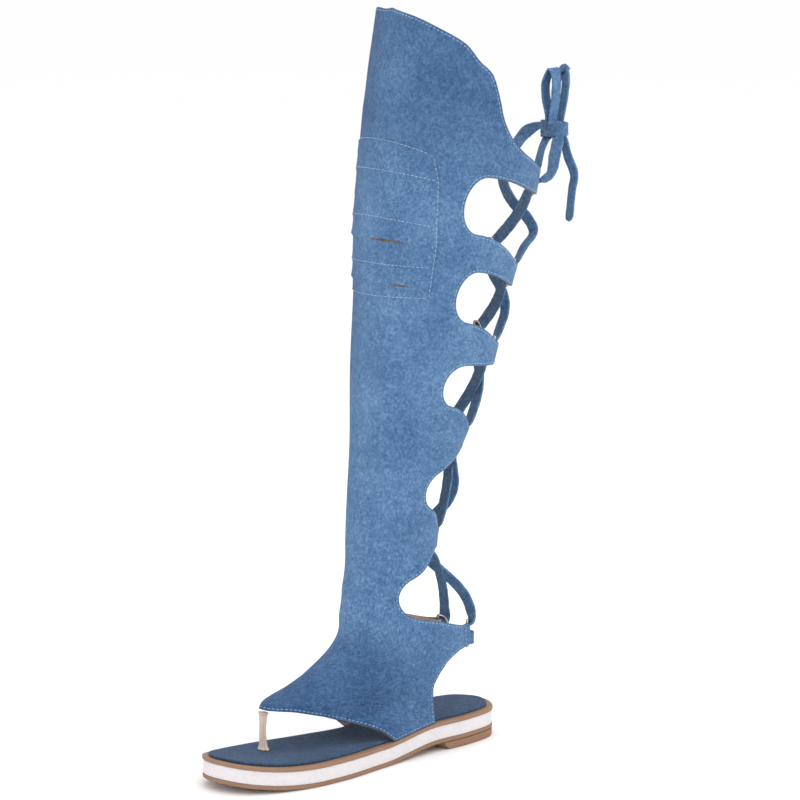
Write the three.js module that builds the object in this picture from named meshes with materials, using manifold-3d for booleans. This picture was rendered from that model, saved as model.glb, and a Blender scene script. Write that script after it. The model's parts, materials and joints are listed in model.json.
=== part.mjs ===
// An over-the-knee gladiator sandal in denim, left shoe, built as a maker puts it together:
// a layered flat sole, one wrapped panel that is vamp and shaft in a single piece, a toe post,
// twelve D rings in the folded ends of the panel's tabs, and a flat strap laced up the back.
//
// Frame: millimetres, +Z up, +X towards the toe, +Y towards the outer (lateral) side.
// The origin is on the floor under the heel.

import * as THREE from "three";
import { mergeVertices } from "three/addons/utils/BufferGeometryUtils.js";
import Module from "manifold-3d";

const wasm = await Module();
wasm.setup();

// ---------------------------------------------------------------- driving dimensions

const GAP = 0.3; // between touching pieces
const OUTSOLE_THICK = 3.0;
const MIDSOLE_THICK = 9.8;
const WELT_THICK = 2.5;
const INSOLE_THICK = 2.0;
const INSOLE_INSET = 4.6; // footbed edge in from the welt edge
const HEEL_BLOCK_FRONT = 40; // front of the heel block at its top
const HEEL_BLOCK_SLANT = 5; // how far its front leans back at the floor
const HEEL_LIFT = 6.0; // outsole above the floor at the heel
const TOE_SPRING = 7;
const TREAD_START = 100; // where the outsole meets the floor behind the ball
const TREAD_END = 160; // where it leaves the floor again

const WALL = 2.0; // denim with its lining
const UPPER_INSET = 0.8; // wall's outer face in from the welt edge
const SETTLE_HEIGHT = 26; // the wings follow the sole's outline this far above it
const TAB_FOLD = 10; // folded length at a tab's end
const SLEEVE_SWELL = 1.5; // the fold stands this proud on each side

const RING_WIRE = 1.0; // wire radius
const RING_HALF_WIDTH = 9.7;
const RING_DEPTH = 7.2;
const RING_SQUARENESS = 2.7; // 2 is an oval, more is squarer
const RING_PLAY = 0.4; // round the bar in its fold

const STRAP_WIDTH = 9.2;
const STRAP_THICK = 1.8;
const STRAP_LIFT = 4.6; // strap's middle outside the plane of the rings
const STRAP_CLEAR = 3.6; // strap's end above or below a ring's middle

const POST_WIDTH = 7;
const POST_DEPTH = 4.4;
const POST_ALONG = 174;
const POST_SIDE = -13;

// ---------------------------------------------------------------- tables

// Sole outline: distance along the foot, and how far each side stands out from the centre line.
const SOLE_HEEL_TIP = { along: -30, side: 0 };
const SOLE_TOE_TIP = { along: 227, side: -9 };
const SOLE_SECTIONS = [
  { along: -18, lateral: 21.5, medial: 21.5 },
  { along: 10, lateral: 28.5, medial: 28.0 },
  { along: 52, lateral: 29.0, medial: 25.0 },
  { along: 97, lateral: 32.5, medial: 26.0 },
  { along: 137, lateral: 37.5, medial: 32.5 },
  { along: 171, lateral: 36.5, medial: 38.5 },
  { along: 200, lateral: 28.5, medial: 35.0 },
  { along: 219, lateral: 14.0, medial: 26.0 },
];

// Horizontal sections of the last and leg: centre, reach to the front and back, half width,
// turn of the leg on the foot in degrees, and how far the front point swings to one side.
const LEG_SECTIONS = [
  { height: 20, centre: 50, side: 0, front: 130, back: 52, half: 28, twist: 0, swing: -16 },
  { height: 50, centre: 54, side: 0, front: 119, back: 52, half: 30, twist: 0, swing: -14 },
  { height: 57, centre: 51, side: 0, front: 101, back: 53, half: 30.5, twist: -1, swing: -11 },
  { height: 65, centre: 48, side: 0, front: 86, back: 54, half: 31, twist: -2, swing: -8 },
  { height: 82, centre: 49, side: 0, front: 62, back: 54, half: 31, twist: -4, swing: -3 },
  { height: 104, centre: 52, side: -4, front: 49, back: 44, half: 31, twist: -6, swing: 0 },
  { height: 146, centre: 58, side: -6, front: 34, back: 32, half: 32, twist: -10, swing: 0 },
  { height: 190, centre: 52, side: -6, front: 37, back: 36, half: 36, twist: -10, swing: 0 },
  { height: 222, centre: 45, side: -5, front: 42, back: 41, half: 41, twist: -10, swing: 0 },
  { height: 274, centre: 31, side: -4, front: 52, back: 51, half: 51, twist: -10, swing: 0 },
  { height: 333, centre: 22, side: -2, front: 57, back: 57, half: 56, twist: -10, swing: 0 },
  { height: 397, centre: 11, side: 0, front: 65, back: 65, half: 64, twist: -10, swing: 0 },
  { height: 473, centre: 0, side: 2, front: 68, back: 68, half: 67, twist: -10, swing: 0 },
  { height: 536, centre: -14, side: 3, front: 70, back: 70, half: 69, twist: -10, swing: 0 },
];

// Top edge of the shaft, by turn round the leg from the front.
const TOP_LINE = [
  { turn: 0, height: 536 },
  { turn: 20, height: 531 },
  { turn: 40, height: 522 },
  { turn: 56, height: 512 },
  { turn: 66, height: 500 },
  { turn: 75, height: 491 },
  { turn: 82, height: 475 },
  { turn: 88, height: 458 },
  { turn: 98, height: 443 },
  { turn: 113, height: 432 },
  { turn: 145, height: 419.5 },
  { turn: 160, height: 417.8 },
];

// Lower edge of the vamp, from its tip over the toe post back to the sole.
const VAMP_EDGE = [
  { turn: 0, height: 47.5 },
  { turn: 27, height: 46 },
  { turn: 45, height: 41 },
  { turn: 60, height: 33 },
  { turn: 68, height: 26 },
  { turn: 73, height: 17 },
];

// Tab ends, from the top: height of each end on the outer and inner side, half its width,
// and the distance of its ring's bar from the centre of the back.
const TABS = [
  { lateral: 410, medial: 420, half: 7.8, bar: 26 },
  { lateral: 344, medial: 356, half: 7.4, bar: 20 },
  { lateral: 288, medial: 296, half: 7.0, bar: 14.5 },
  { lateral: 228, medial: 232, half: 6.8, bar: 13.5 },
  { lateral: 156, medial: 150, half: 7.0, bar: 13.5 },
  { lateral: 81, medial: 79, half: 7.4, bar: 21 },
];

// Openings between the tabs, from the top: where each begins round the leg, the length of its
// rounded front, and its lower and upper edge there.
const OPENINGS = [
  { turn: 69, nose: 14, low: 379, high: 419 },
  { turn: 75, nose: 14, low: 316, high: 352 },
  { turn: 77, nose: 14, low: 256, high: 285 },
  { turn: 91, nose: 18, low: 181, high: 208 },
  { turn: 66, nose: 30, low: 100, high: 132 },
];

// Upper edge of the heel opening under the lowest tabs.
const HEEL_OPENING = [
  { turn: 95, height: 48 },
  { turn: 98, height: 60 },
  { turn: 105, height: 67 },
  { turn: 125, height: 72.4 },
  { turn: 150, height: 73.2 },
];

// How far the middle of each crossing bows out from the line between its rings.
const CROSSINGS = [{ bow: 8 }, { bow: 7 }, { bow: 3 }, { bow: 9 }, { bow: 10 }];

// Routes of the bow: off is out from the back of the shaft, side is towards the outer side.
const KNOT = { off: 18, side: 5, height: 446, width: 20, deep: 11, tall: 11 };
const BOW_ROUTES = {
  lace_lead_lateral: [
    { off: 5, side: 23, height: 414 },
    { off: 9, side: 27, height: 419 },
    { off: 14, side: 27, height: 428 },
    { off: 17, side: 21, height: 438 },
    { off: 18, side: 16.5, height: 442 },
  ],
  lace_lead_medial: [
    { off: 5, side: -20, height: 427 },
    { off: 6, side: -23, height: 434 },
    { off: 10, side: -19, height: 442 },
    { off: 14, side: -12, height: 447 },
    { off: 17, side: -6.5, height: 447.5 },
  ],
  lace_loop_medial: [
    { off: 13.5, side: 3, height: 454 },
    { off: 13, side: -3.5, height: 466 },
    { off: 13, side: -8, height: 479 },
    { off: 13, side: -3, height: 489 },
    { off: 13, side: 3.5, height: 483 },
    { off: 13.5, side: 7, height: 468 },
    { off: 13.5, side: 7, height: 455 },
  ],
  lace_loop_lateral: [
    { off: 23.5, side: -1.5, height: 454 },
    { off: 23.5, side: -7, height: 466 },
    { off: 23.5, side: -9, height: 478 },
    { off: 23.5, side: -4, height: 488 },
    { off: 23.5, side: 1, height: 483 },
    { off: 23.5, side: 3.5, height: 470 },
    { off: 23.5, side: 3, height: 455 },
  ],
  lace_end_lateral: [
    { off: 24, side: 10, height: 438 },
    { off: 28, side: 13, height: 426 },
    { off: 32, side: 19, height: 413 },
    { off: 31, side: 21, height: 402 },
    { off: 29, side: 26, height: 388 },
    { off: 29, side: 28, height: 380 },
  ],
  lace_end_medial: [
    { off: 16, side: 7, height: 439 },
    { off: 12, side: 11, height: 431 },
    { off: 9, side: 13, height: 423 },
    { off: 7.5, side: 13, height: 415 },
  ],
};

// ---------------------------------------------------------------- small maths

const radians = THREE.MathUtils.degToRad;
const lerp = THREE.MathUtils.lerp;
const clamp = THREE.MathUtils.clamp;
const smoothstep = THREE.MathUtils.smoothstep;

// A smooth curve through one column of a table that never overshoots its rows.
function column(rows, at, name) {
  const x = rows.map((row) => row[at]);
  const y = rows.map((row) => row[name]);
  const last = x.length - 1;
  const slope = [];
  for (let i = 0; i < last; i += 1) slope.push((y[i + 1] - y[i]) / (x[i + 1] - x[i]));
  const tangent = x.map((_, i) => {
    if (i === 0) return slope[0];
    if (i === last) return slope[last - 1];
    if (slope[i - 1] * slope[i] <= 0) return 0;
    return (2 * slope[i - 1] * slope[i]) / (slope[i - 1] + slope[i]);
  });
  return (value) => {
    const v = clamp(value, x[0], x[last]);
    let i = 0;
    while (i < last - 1 && v > x[i + 1]) i += 1;
    const step = x[i + 1] - x[i];
    const t = (v - x[i]) / step;
    const t2 = t * t;
    const t3 = t2 * t;
    return (
      (2 * t3 - 3 * t2 + 1) * y[i] +
      (t3 - 2 * t2 + t) * step * tangent[i] +
      (3 * t2 - 2 * t3) * y[i + 1] +
      (t3 - t2) * step * tangent[i + 1]
    );
  };
}

// ---------------------------------------------------------------- solids from rings and grids

function signedVolume(points, faces) {
  let sum = 0;
  for (const [a, b, c] of faces) sum += points[a].dot(new THREE.Vector3().crossVectors(points[b], points[c]));
  return sum / 6;
}

// A closed solid from points and triangles, turned so that its faces point out.
function solidGeometry(points, faces) {
  const outward = signedVolume(points, faces) > 0;
  const geometry = new THREE.BufferGeometry();
  geometry.setAttribute("position", new THREE.Float32BufferAttribute(points.flatMap((p) => [p.x, p.y, p.z]), 3));
  geometry.setIndex(faces.flatMap(([a, b, c]) => (outward ? [a, b, c] : [a, c, b])));
  return geometry;
}

function quad(a, b, c, d) {
  return [
    [a, b, c],
    [a, c, d],
  ];
}

// Rings of equal length joined one after another; closed makes a hoop, otherwise the ends are capped.
function loft(rings, closed = false) {
  const size = rings[0].length;
  const points = rings.flat();
  const faces = [];
  const spans = closed ? rings.length : rings.length - 1;
  for (let i = 0; i < spans; i += 1) {
    const here = i * size;
    const next = ((i + 1) % rings.length) * size;
    for (let j = 0; j < size; j += 1) {
      const k = (j + 1) % size;
      faces.push(...quad(here + j, here + k, next + k, next + j));
    }
  }
  if (!closed) {
    const end = (rings.length - 1) * size;
    for (let j = 1; j < size - 1; j += 1) {
      faces.push([0, j + 1, j]);
      faces.push([end, end + j, end + j + 1]);
    }
  }
  return solidGeometry(points, faces);
}

// A wall between an outer and an inner grid of points with the same rows and columns.
function wallBetween(outer, inner) {
  const rows = outer.length;
  const columns = outer[0].length;
  const points = [...outer.flat(), ...inner.flat()];
  const innerStart = rows * columns;
  const at = (i, j) => i * columns + j;
  const faces = [];
  for (let i = 0; i < rows - 1; i += 1) {
    for (let j = 0; j < columns - 1; j += 1) {
      const corners = [at(i, j), at(i, j + 1), at(i + 1, j + 1), at(i + 1, j)];
      faces.push(...quad(...corners));
      faces.push(...quad(...corners.map((n) => n + innerStart).reverse()));
    }
  }
  const rim = [];
  for (let j = 0; j < columns; j += 1) rim.push(at(0, j));
  for (let i = 1; i < rows; i += 1) rim.push(at(i, columns - 1));
  for (let j = columns - 2; j >= 0; j -= 1) rim.push(at(rows - 1, j));
  for (let i = rows - 2; i > 0; i -= 1) rim.push(at(i, 0));
  rim.forEach((here, n) => {
    const next = rim[(n + 1) % rim.length];
    faces.push(...quad(here, here + innerStart, next + innerStart, next));
  });
  return solidGeometry(points, faces);
}

function toManifold(geometry) {
  const plain = new THREE.BufferGeometry();
  plain.setAttribute("position", geometry.getAttribute("position").clone());
  if (geometry.index) plain.setIndex(geometry.index.clone());
  const merged = mergeVertices(plain, 1e-4);
  const mesh = new wasm.Mesh({
    numProp: 3,
    vertProperties: new Float32Array(merged.getAttribute("position").array),
    triVerts: new Uint32Array(merged.index.array),
  });
  return new wasm.Manifold(mesh);
}

function fromManifold(solid) {
  const mesh = solid.getMesh();
  const geometry = new THREE.BufferGeometry();
  geometry.setAttribute("position", new THREE.Float32BufferAttribute(mesh.vertProperties, 3));
  geometry.setIndex(Array.from(mesh.triVerts));
  return geometry;
}

// ---------------------------------------------------------------- sole

const OUTLINE_STEPS = 216;

const outlineCurve = new THREE.CatmullRomCurve3(
  [
    new THREE.Vector3(SOLE_HEEL_TIP.along, SOLE_HEEL_TIP.side, 0),
    ...SOLE_SECTIONS.map((row) => new THREE.Vector3(row.along, row.lateral, 0)),
    new THREE.Vector3(SOLE_TOE_TIP.along, SOLE_TOE_TIP.side, 0),
    ...SOLE_SECTIONS.map((row) => new THREE.Vector3(row.along, -row.medial, 0)).reverse(),
  ],
  true,
  "centripetal",
);

function heightOn(points, along) {
  for (let i = 1; i < points.length; i += 1) {
    if (along <= points[i].x) {
      const t = (along - points[i - 1].x) / (points[i].x - points[i - 1].x);
      return lerp(points[i - 1].y, points[i].y, clamp(t, 0, 1));
    }
  }
  return points[points.length - 1].y;
}

// The sole's outline moved in by an inset: its two tips and its side at any place along.
function soleEdge(inset) {
  const raw = outlineCurve.getPoints(OUTLINE_STEPS).slice(0, OUTLINE_STEPS);
  const moved = raw.map((p, i) => {
    const before = raw[(i + raw.length - 1) % raw.length];
    const after = raw[(i + 1) % raw.length];
    const way = new THREE.Vector2(after.x - before.x, after.y - before.y).normalize();
    return new THREE.Vector3(p.x + way.y * inset, p.y - way.x * inset, 0);
  });
  const heel = moved.reduce((a, b) => (b.x < a.x ? b : a));
  const toe = moved.reduce((a, b) => (b.x > a.x ? b : a));
  const start = moved.indexOf(heel);
  const turned = [...moved.slice(start), ...moved.slice(0, start)];
  const split = turned.indexOf(toe);
  const lateral = turned.slice(0, split + 1);
  const medial = [...turned.slice(split), turned[0]].reverse();
  return {
    heel: heel.x,
    toe: toe.x,
    lateral: (along) => heightOn(lateral, along),
    medial: (along) => heightOn(medial, along),
  };
}

// Underside of the outsole: raised on the heel block, flat at the ball, lifted at the toe.
function outsoleBottom(along) {
  const heel = HEEL_LIFT * (1 - smoothstep(along, HEEL_BLOCK_FRONT - 2, TREAD_START));
  const toe = TOE_SPRING * clamp((along - TREAD_END) / (SOLE_TOE_TIP.along - TREAD_END), 0, 1) ** 2;
  return heel + toe;
}

const midsoleBottom = (along) => outsoleBottom(along) + OUTSOLE_THICK + GAP;
const weltBottom = (along) => midsoleBottom(along) + MIDSOLE_THICK + GAP;
const weltTop = (along) => weltBottom(along) + WELT_THICK;
const insoleBottom = (along) => weltTop(along) + GAP;
const insoleTop = (along) => insoleBottom(along) + INSOLE_THICK;

const SOLE_STATIONS = 28;
const SOLE_TIP_FACET = 0.25;

// One layer of the sole between two heights, with the outline moved in by an inset.
function soleLayer(inset, bottom, top) {
  const edge = soleEdge(inset);
  const rings = [];
  for (let k = 0; k <= SOLE_STATIONS; k += 1) {
    const turn = (Math.PI * (k + SOLE_TIP_FACET)) / (SOLE_STATIONS + 2 * SOLE_TIP_FACET);
    const along = lerp(edge.heel, edge.toe, (1 - Math.cos(turn)) / 2);
    const lateral = edge.lateral(along);
    const medial = edge.medial(along);
    rings.push([
      new THREE.Vector3(along, medial, bottom(along)),
      new THREE.Vector3(along, lateral, bottom(along)),
      new THREE.Vector3(along, lateral, top(along)),
      new THREE.Vector3(along, medial, top(along)),
    ]);
  }
  return loft(rings);
}

const HEEL_BLOCK_STATIONS = 14;
const HEEL_BLOCK_INSET = 0.6;

function heelBlock() {
  const edge = soleEdge(HEEL_BLOCK_INSET);
  const top = HEEL_LIFT - GAP;
  const rings = [];
  for (let k = 0; k <= HEEL_BLOCK_STATIONS; k += 1) {
    const share = k / HEEL_BLOCK_STATIONS;
    const reach = 1 - Math.cos((Math.PI / 2) * (share + 0.01) / 1.01);
    const low = lerp(edge.heel, HEEL_BLOCK_FRONT - HEEL_BLOCK_SLANT, reach);
    const high = lerp(edge.heel, HEEL_BLOCK_FRONT, reach);
    rings.push([
      new THREE.Vector3(low, edge.medial(low), 0),
      new THREE.Vector3(low, edge.lateral(low), 0),
      new THREE.Vector3(high, edge.lateral(high), top),
      new THREE.Vector3(high, edge.medial(high), top),
    ]);
  }
  return loft(rings);
}

// ---------------------------------------------------------------- last and leg surface

const LEG_COLUMNS = ["centre", "side", "front", "back", "half", "twist", "swing"];
const leg = Object.fromEntries(LEG_COLUMNS.map((name) => [name, column(LEG_SECTIONS, "height", name)]));
const wallEdge = soleEdge(UPPER_INSET);
const FULL_WIDTH_TURN = 0.9; // sine of the turn past which the wall follows the sole's edge

// A point of the upper's outer face: turn in degrees from the front, positive to the outer side.
function legPoint(turn, height) {
  const across = Math.sin(radians(turn));
  const forward = Math.cos(radians(turn));
  const reach = forward > 0 ? leg.front(height) : leg.back(height);
  const swing = forward > 0 ? leg.swing(height) * forward : 0;
  const x = reach * forward;
  const y = leg.half(height) * across + swing;
  const twist = radians(leg.twist(height));
  const along = leg.centre(height) + x * Math.cos(twist) - y * Math.sin(twist);
  const free = leg.side(height) + x * Math.sin(twist) + y * Math.cos(twist);
  const edge = across > 0 ? wallEdge.lateral(along) : wallEdge.medial(along);
  const seated = edge * Math.min(1, Math.abs(across) / FULL_WIDTH_TURN);
  const seat = weltTop(along);
  const settle = 1 - smoothstep(height, seat, seat + SETTLE_HEIGHT);
  return new THREE.Vector3(along, lerp(free, seated, settle), height);
}

function legNormal(turn, height) {
  const step = 0.5;
  const round = legPoint(turn + step, height).sub(legPoint(turn - step, height));
  const rise = legPoint(turn, height + step).sub(legPoint(turn, height - step));
  return round.cross(rise).normalize();
}

function legOffset(turn, height, outward) {
  return legPoint(turn, height).addScaledVector(legNormal(turn, height), outward);
}

// Unit direction round the leg, level, towards larger turns.
function legRound(turn, height) {
  const step = 0.5;
  return legPoint(turn + step, height).sub(legPoint(turn - step, height)).normalize();
}

// The turn that lies a given distance short of the centre of the back.
function turnFromBack(distance, height, side) {
  let turn = 180;
  let walked = 0;
  const step = 1;
  while (walked < distance) {
    const here = legPoint(side * turn, height);
    const next = legPoint(side * (turn - step), height);
    const length = here.distanceTo(next);
    const share = Math.min(1, (distance - walked) / length);
    turn -= step * share;
    walked += length * share;
  }
  return side * turn;
}

// ---------------------------------------------------------------- upper

const SIDES = [
  { name: "lateral", sign: 1 },
  { name: "medial", sign: -1 },
];

const TIP_PAST_BAR = 2.5; // the fold's end past the bar of its ring

// Turn of the tab ends by height, one smooth line through all six tabs of a side.
function tipLine(side) {
  const rows = TABS.map((tab) => ({
    height: tab[side.name],
    turn: Math.abs(turnFromBack(tab.bar - TIP_PAST_BAR, tab[side.name], side.sign)),
  })).reverse();
  return column(rows, "height", "turn");
}

const tipTurn = Object.fromEntries(SIDES.map((side) => [side.name, tipLine(side)]));
const topLine = column(TOP_LINE, "turn", "height");
const vampEdge = column(VAMP_EDGE, "turn", "height");
const VAMP_EDGE_END = VAMP_EDGE[VAMP_EDGE.length - 1].turn;

const topShift = Object.fromEntries(SIDES.map((side) => [side.name, TABS[0][side.name] - TABS[0].lateral]));
const TOP_SHIFT_START = 80;

function topHeight(turn) {
  const side = turn < 0 ? SIDES[1] : SIDES[0];
  return topLine(Math.abs(turn)) + topShift[side.name] * smoothstep(Math.abs(turn), TOP_SHIFT_START, 120);
}

function lowHeight(turn) {
  const size = Math.abs(turn);
  let height = size < VAMP_EDGE_END ? vampEdge(size) : 0;
  const seat = weltTop(legPoint(turn, Math.max(height, 20)).x) + GAP;
  height = Math.max(height, seat);
  return height;
}

const UPPER_COLUMNS = 28;
const UPPER_ROWS = 23;
const LOW_ROWS_SHARE = 1.35; // above one packs the rows towards the foot

function upperSheet() {
  const outer = [];
  const inner = [];
  for (let i = 0; i <= UPPER_ROWS; i += 1) {
    const up = (i / UPPER_ROWS) ** LOW_ROWS_SHARE;
    const outerRow = [];
    const innerRow = [];
    for (let j = 0; j <= UPPER_COLUMNS; j += 1) {
      const share = (2 * j) / UPPER_COLUMNS - 1;
      const line = share < 0 ? tipTurn.medial : tipTurn.lateral;
      let turn = share * 150;
      let height = 100;
      for (let pass = 0; pass < 8; pass += 1) {
        height = lerp(lowHeight(turn), topHeight(turn), up);
        turn = share * line(height);
      }
      const face = legPoint(turn, height);
      const back = legOffset(turn, height, -WALL);
      back.z = Math.max(back.z, Math.min(face.z, weltTop(back.x) + GAP));
      outerRow.push(face);
      innerRow.push(back);
    }
    outer.push(outerRow);
    inner.push(innerRow);
  }
  return toManifold(wallBetween(outer, inner));
}

const CUTTER_REACH = 11;
const OPENING_STEPS = 22;

// A cutter that goes through the wall right round the back, between a lower and an upper edge.
function backCutter(start, low, high, columns) {
  const rows = 2;
  const outer = [];
  const inner = [];
  for (let i = 0; i <= rows; i += 1) {
    const outerRow = [];
    const innerRow = [];
    for (let j = 0; j <= columns; j += 1) {
      const turn = lerp(start, 360 - start, j / columns);
      const signed = turn <= 180 ? turn : turn - 360;
      const height = lerp(low(signed, turn), high(signed, turn), i / rows);
      outerRow.push(legOffset(signed, height, CUTTER_REACH));
      innerRow.push(legOffset(signed, height, -CUTTER_REACH));
    }
    outer.push(outerRow);
    inner.push(innerRow);
  }
  return toManifold(wallBetween(outer, inner));
}

const BLEND_START = 165; // past this turn the two sides' heights blend across the open back

function sideLevel(rows, index, turn) {
  const share = smoothstep(turn, BLEND_START, 360 - BLEND_START);
  return lerp(rows[index].lateral, rows[index].medial, share);
}

const NOSE_FLAT = 0.16; // the opening never closes to nothing at its front

// One opening between two tabs: a rounded front that widens along the drooping tabs.
function openingCutter(index) {
  const row = OPENINGS[index];
  const middle = (row.low + row.high) / 2;
  const tall = (row.high - row.low) / 2;
  const edges = (turn) => {
    const size = Math.min(turn, 360 - turn);
    const into = clamp((size - row.turn) / row.nose, 0, 1);
    const round = Math.max(NOSE_FLAT, Math.sqrt(1 - (1 - into) ** 2));
    const toBack = smoothstep(size, row.turn + row.nose * 0.6, 146);
    const sideLow = sideLevel(TABS, index + 1, turn) + TABS[index + 1].half;
    const sideHigh = sideLevel(TABS, index, turn) - TABS[index].half;
    const lift = (sideLevel(TABS, index, turn) - TABS[index].lateral) * 0.7;
    return {
      low: lerp(middle + lift - tall * round, sideLow, toBack),
      high: lerp(middle + lift + tall * round, sideHigh, toBack),
    };
  };
  return backCutter(row.turn, (_, turn) => edges(turn).low, (_, turn) => edges(turn).high, OPENING_STEPS);
}

function heelCutter() {
  const edge = column(HEEL_OPENING, "turn", "height");
  const last = TABS.length - 1;
  const floor = () => outsoleBottom(0);
  const top = (signed, turn) => edge(Math.abs(signed)) + sideLevel(TABS, last, turn) - TABS[last].lateral;
  return backCutter(HEEL_OPENING[0].turn, floor, top, OPENING_STEPS);
}

// The place of a tab's ring: bar position, direction to the gap, width direction and normal.
function ringSeat(index, side) {
  const height = TABS[index][side.name];
  const turn = turnFromBack(TABS[index].bar, height, side.sign);
  const normal = legNormal(turn, height);
  const inward = legRound(turn, height).multiplyScalar(side.sign);
  const up = new THREE.Vector3().crossVectors(normal, inward).normalize();
  if (up.z < 0) up.negate();
  const middle = legOffset(turn, height, -WALL / 2);
  return { turn, height, normal, inward, up, middle };
}

// The folded end of a tab, a thicker sleeve with a channel for the ring's bar.
function tabSleeve(index, side) {
  const seat = ringSeat(index, side);
  const half = TABS[index].half;
  const section = (along, thick) =>
    [
      [-half, -thick],
      [half, -thick],
      [half, thick],
      [-half, thick],
    ].map(([rise, out]) =>
      seat.middle
        .clone()
        .addScaledVector(seat.inward, along)
        .addScaledVector(seat.up, rise)
        .addScaledVector(seat.normal, out),
    );
  const full = WALL / 2 + SLEEVE_SWELL;
  return toManifold(
    loft([
      section(-TAB_FOLD, WALL / 2 - 0.2),
      section(-TAB_FOLD * 0.5, full * 0.75),
      section(-1.5, full),
      section(1.5, full),
      section(TIP_PAST_BAR, full * 0.6),
    ]),
  );
}

function barChannel(index, side) {
  const seat = ringSeat(index, side);
  const reach = TABS[index].half + 4;
  const sides = 8;
  const circle = (rise) =>
    Array.from({ length: sides }, (_, k) => {
      const turn = (2 * Math.PI * k) / sides;
      const radius = (RING_WIRE + RING_PLAY) / Math.cos(Math.PI / sides);
      return seat.middle
        .clone()
        .addScaledVector(seat.up, rise)
        .addScaledVector(seat.inward, radius * Math.cos(turn))
        .addScaledVector(seat.normal, radius * Math.sin(turn));
    });
  return toManifold(loft([circle(-reach), circle(reach)]));
}

function upperGeometry() {
  let solid = upperSheet();
  OPENINGS.forEach((_, index) => {
    solid = solid.subtract(openingCutter(index));
  });
  solid = solid.subtract(heelCutter());
  TABS.forEach((_, index) => {
    SIDES.forEach((side) => {
      solid = solid.add(tabSleeve(index, side));
    });
  });
  TABS.forEach((_, index) => {
    SIDES.forEach((side) => {
      solid = solid.subtract(barChannel(index, side));
    });
  });
  return fromManifold(solid);
}

// ---------------------------------------------------------------- rings

const RING_ARC_STEPS = 8;
const RING_SIDES = 6;

// A D ring: a straight bar closed by half an oval, bent from round wire.
function ringGeometry(index, side) {
  const seat = ringSeat(index, side);
  const path = [];
  for (let k = 0; k <= RING_ARC_STEPS; k += 1) {
    const turn = lerp(-Math.PI / 2, Math.PI / 2, k / RING_ARC_STEPS);
    const power = 2 / RING_SQUARENESS;
    const deep = RING_DEPTH * Math.max(0, Math.cos(turn)) ** power;
    const wide = RING_HALF_WIDTH * Math.sign(turn) * Math.abs(Math.sin(turn)) ** power;
    path.push(new THREE.Vector2(deep, wide));
  }
  const rings = path.map((p, k) => {
    const before = path[(k + path.length - 1) % path.length];
    const after = path[(k + 1) % path.length];
    const inWay = p.clone().sub(before).normalize();
    const outWay = after.clone().sub(p).normalize();
    const way = inWay.clone().add(outWay).normalize();
    const across = new THREE.Vector2(way.y, -way.x);
    const mitre = 1 / Math.max(0.6, way.dot(inWay));
    return Array.from({ length: RING_SIDES }, (_, s) => {
      const turn = (2 * Math.PI * s) / RING_SIDES;
      const flat = p.clone().addScaledVector(across, RING_WIRE * mitre * Math.cos(turn));
      return seat.middle
        .clone()
        .addScaledVector(seat.inward, flat.x)
        .addScaledVector(seat.up, flat.y)
        .addScaledVector(seat.normal, RING_WIRE * Math.sin(turn));
    });
  });
  return loft(rings, true);
}

// ---------------------------------------------------------------- toe post

const POST_RINGS = [
  { share: 0, swell: 1.5 },
  { share: 0.1, swell: 1.08 },
  { share: 0.3, swell: 0.94 },
  { share: 0.75, swell: 0.9 },
  { share: 0.93, swell: 1.05 },
  { share: 1, swell: 1.3 },
];
const POST_SIDES = 12;

function toePostGeometry() {
  const base = insoleTop(POST_ALONG) + GAP;
  const top = vampEdge(0) - WALL - GAP;
  const rings = POST_RINGS.map((row) =>
    Array.from({ length: POST_SIDES }, (_, s) => {
      const turn = (2 * Math.PI * s) / POST_SIDES;
      return new THREE.Vector3(
        POST_ALONG + (POST_DEPTH / 2) * row.swell * Math.cos(turn),
        POST_SIDE + (POST_WIDTH / 2) * row.swell * Math.sin(turn),
        lerp(base, top, row.share),
      );
    }),
  );
  return loft(rings);
}

// ---------------------------------------------------------------- lace

const HALF_BAND = STRAP_WIDTH / 2;
const HALF_THICK = STRAP_THICK / 2;

// Strap section: across the strap, and out from its flat side.
const STRAP_SECTION = [
  [-HALF_BAND, -HALF_THICK],
  [HALF_BAND, -HALF_THICK],
  [HALF_BAND, HALF_THICK],
  [-HALF_BAND, HALF_THICK],
];

// A flat strap along a route; facing gives the direction its flat side looks at each point.
function strapGeometry(route, facing, steps) {
  const curve = new THREE.CatmullRomCurve3(route, false, "centripetal");
  const rings = [];
  for (let k = 0; k <= steps; k += 1) {
    const share = k / steps;
    const point = curve.getPointAt(share);
    const way = curve.getTangentAt(share);
    const across = new THREE.Vector3().crossVectors(way, facing(share, way)).normalize();
    const out = new THREE.Vector3().crossVectors(across, way).normalize();
    rings.push(STRAP_SECTION.map(([a, b]) => point.clone().addScaledVector(across, a).addScaledVector(out, b)));
  }
  return loft(rings);
}

// Directions at the back of the shaft at a height: straight out, and towards the outer side.
function backFrame(height) {
  const twist = radians(leg.twist(height));
  return {
    out: new THREE.Vector3(-Math.cos(twist), -Math.sin(twist), 0),
    side: new THREE.Vector3(-Math.sin(twist), Math.cos(twist), 0),
    point: legPoint(180, height),
  };
}

function backPoint({ off, side, height }) {
  const frame = backFrame(height);
  return frame.point.clone().addScaledVector(frame.out, off).addScaledVector(frame.side, side);
}

const RING_OPENING = 4.6; // from the bar to the middle of the ring's opening

// Where the strap lies on a ring, above or below its middle.
function strapSeat(index, side, rise) {
  const seat = ringSeat(index, side);
  return seat.middle
    .clone()
    .addScaledVector(seat.inward, RING_OPENING)
    .addScaledVector(seat.normal, STRAP_LIFT)
    .addScaledVector(seat.up, rise);
}

// A facing that turns from one ring's normal, through straight out, to another ring's normal.
function turningFace(start, middle, end) {
  return (share) => {
    const near = share < 0.5 ? start : end;
    return near.clone().lerp(middle, 1 - Math.abs(2 * share - 1)).normalize();
  };
}

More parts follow.
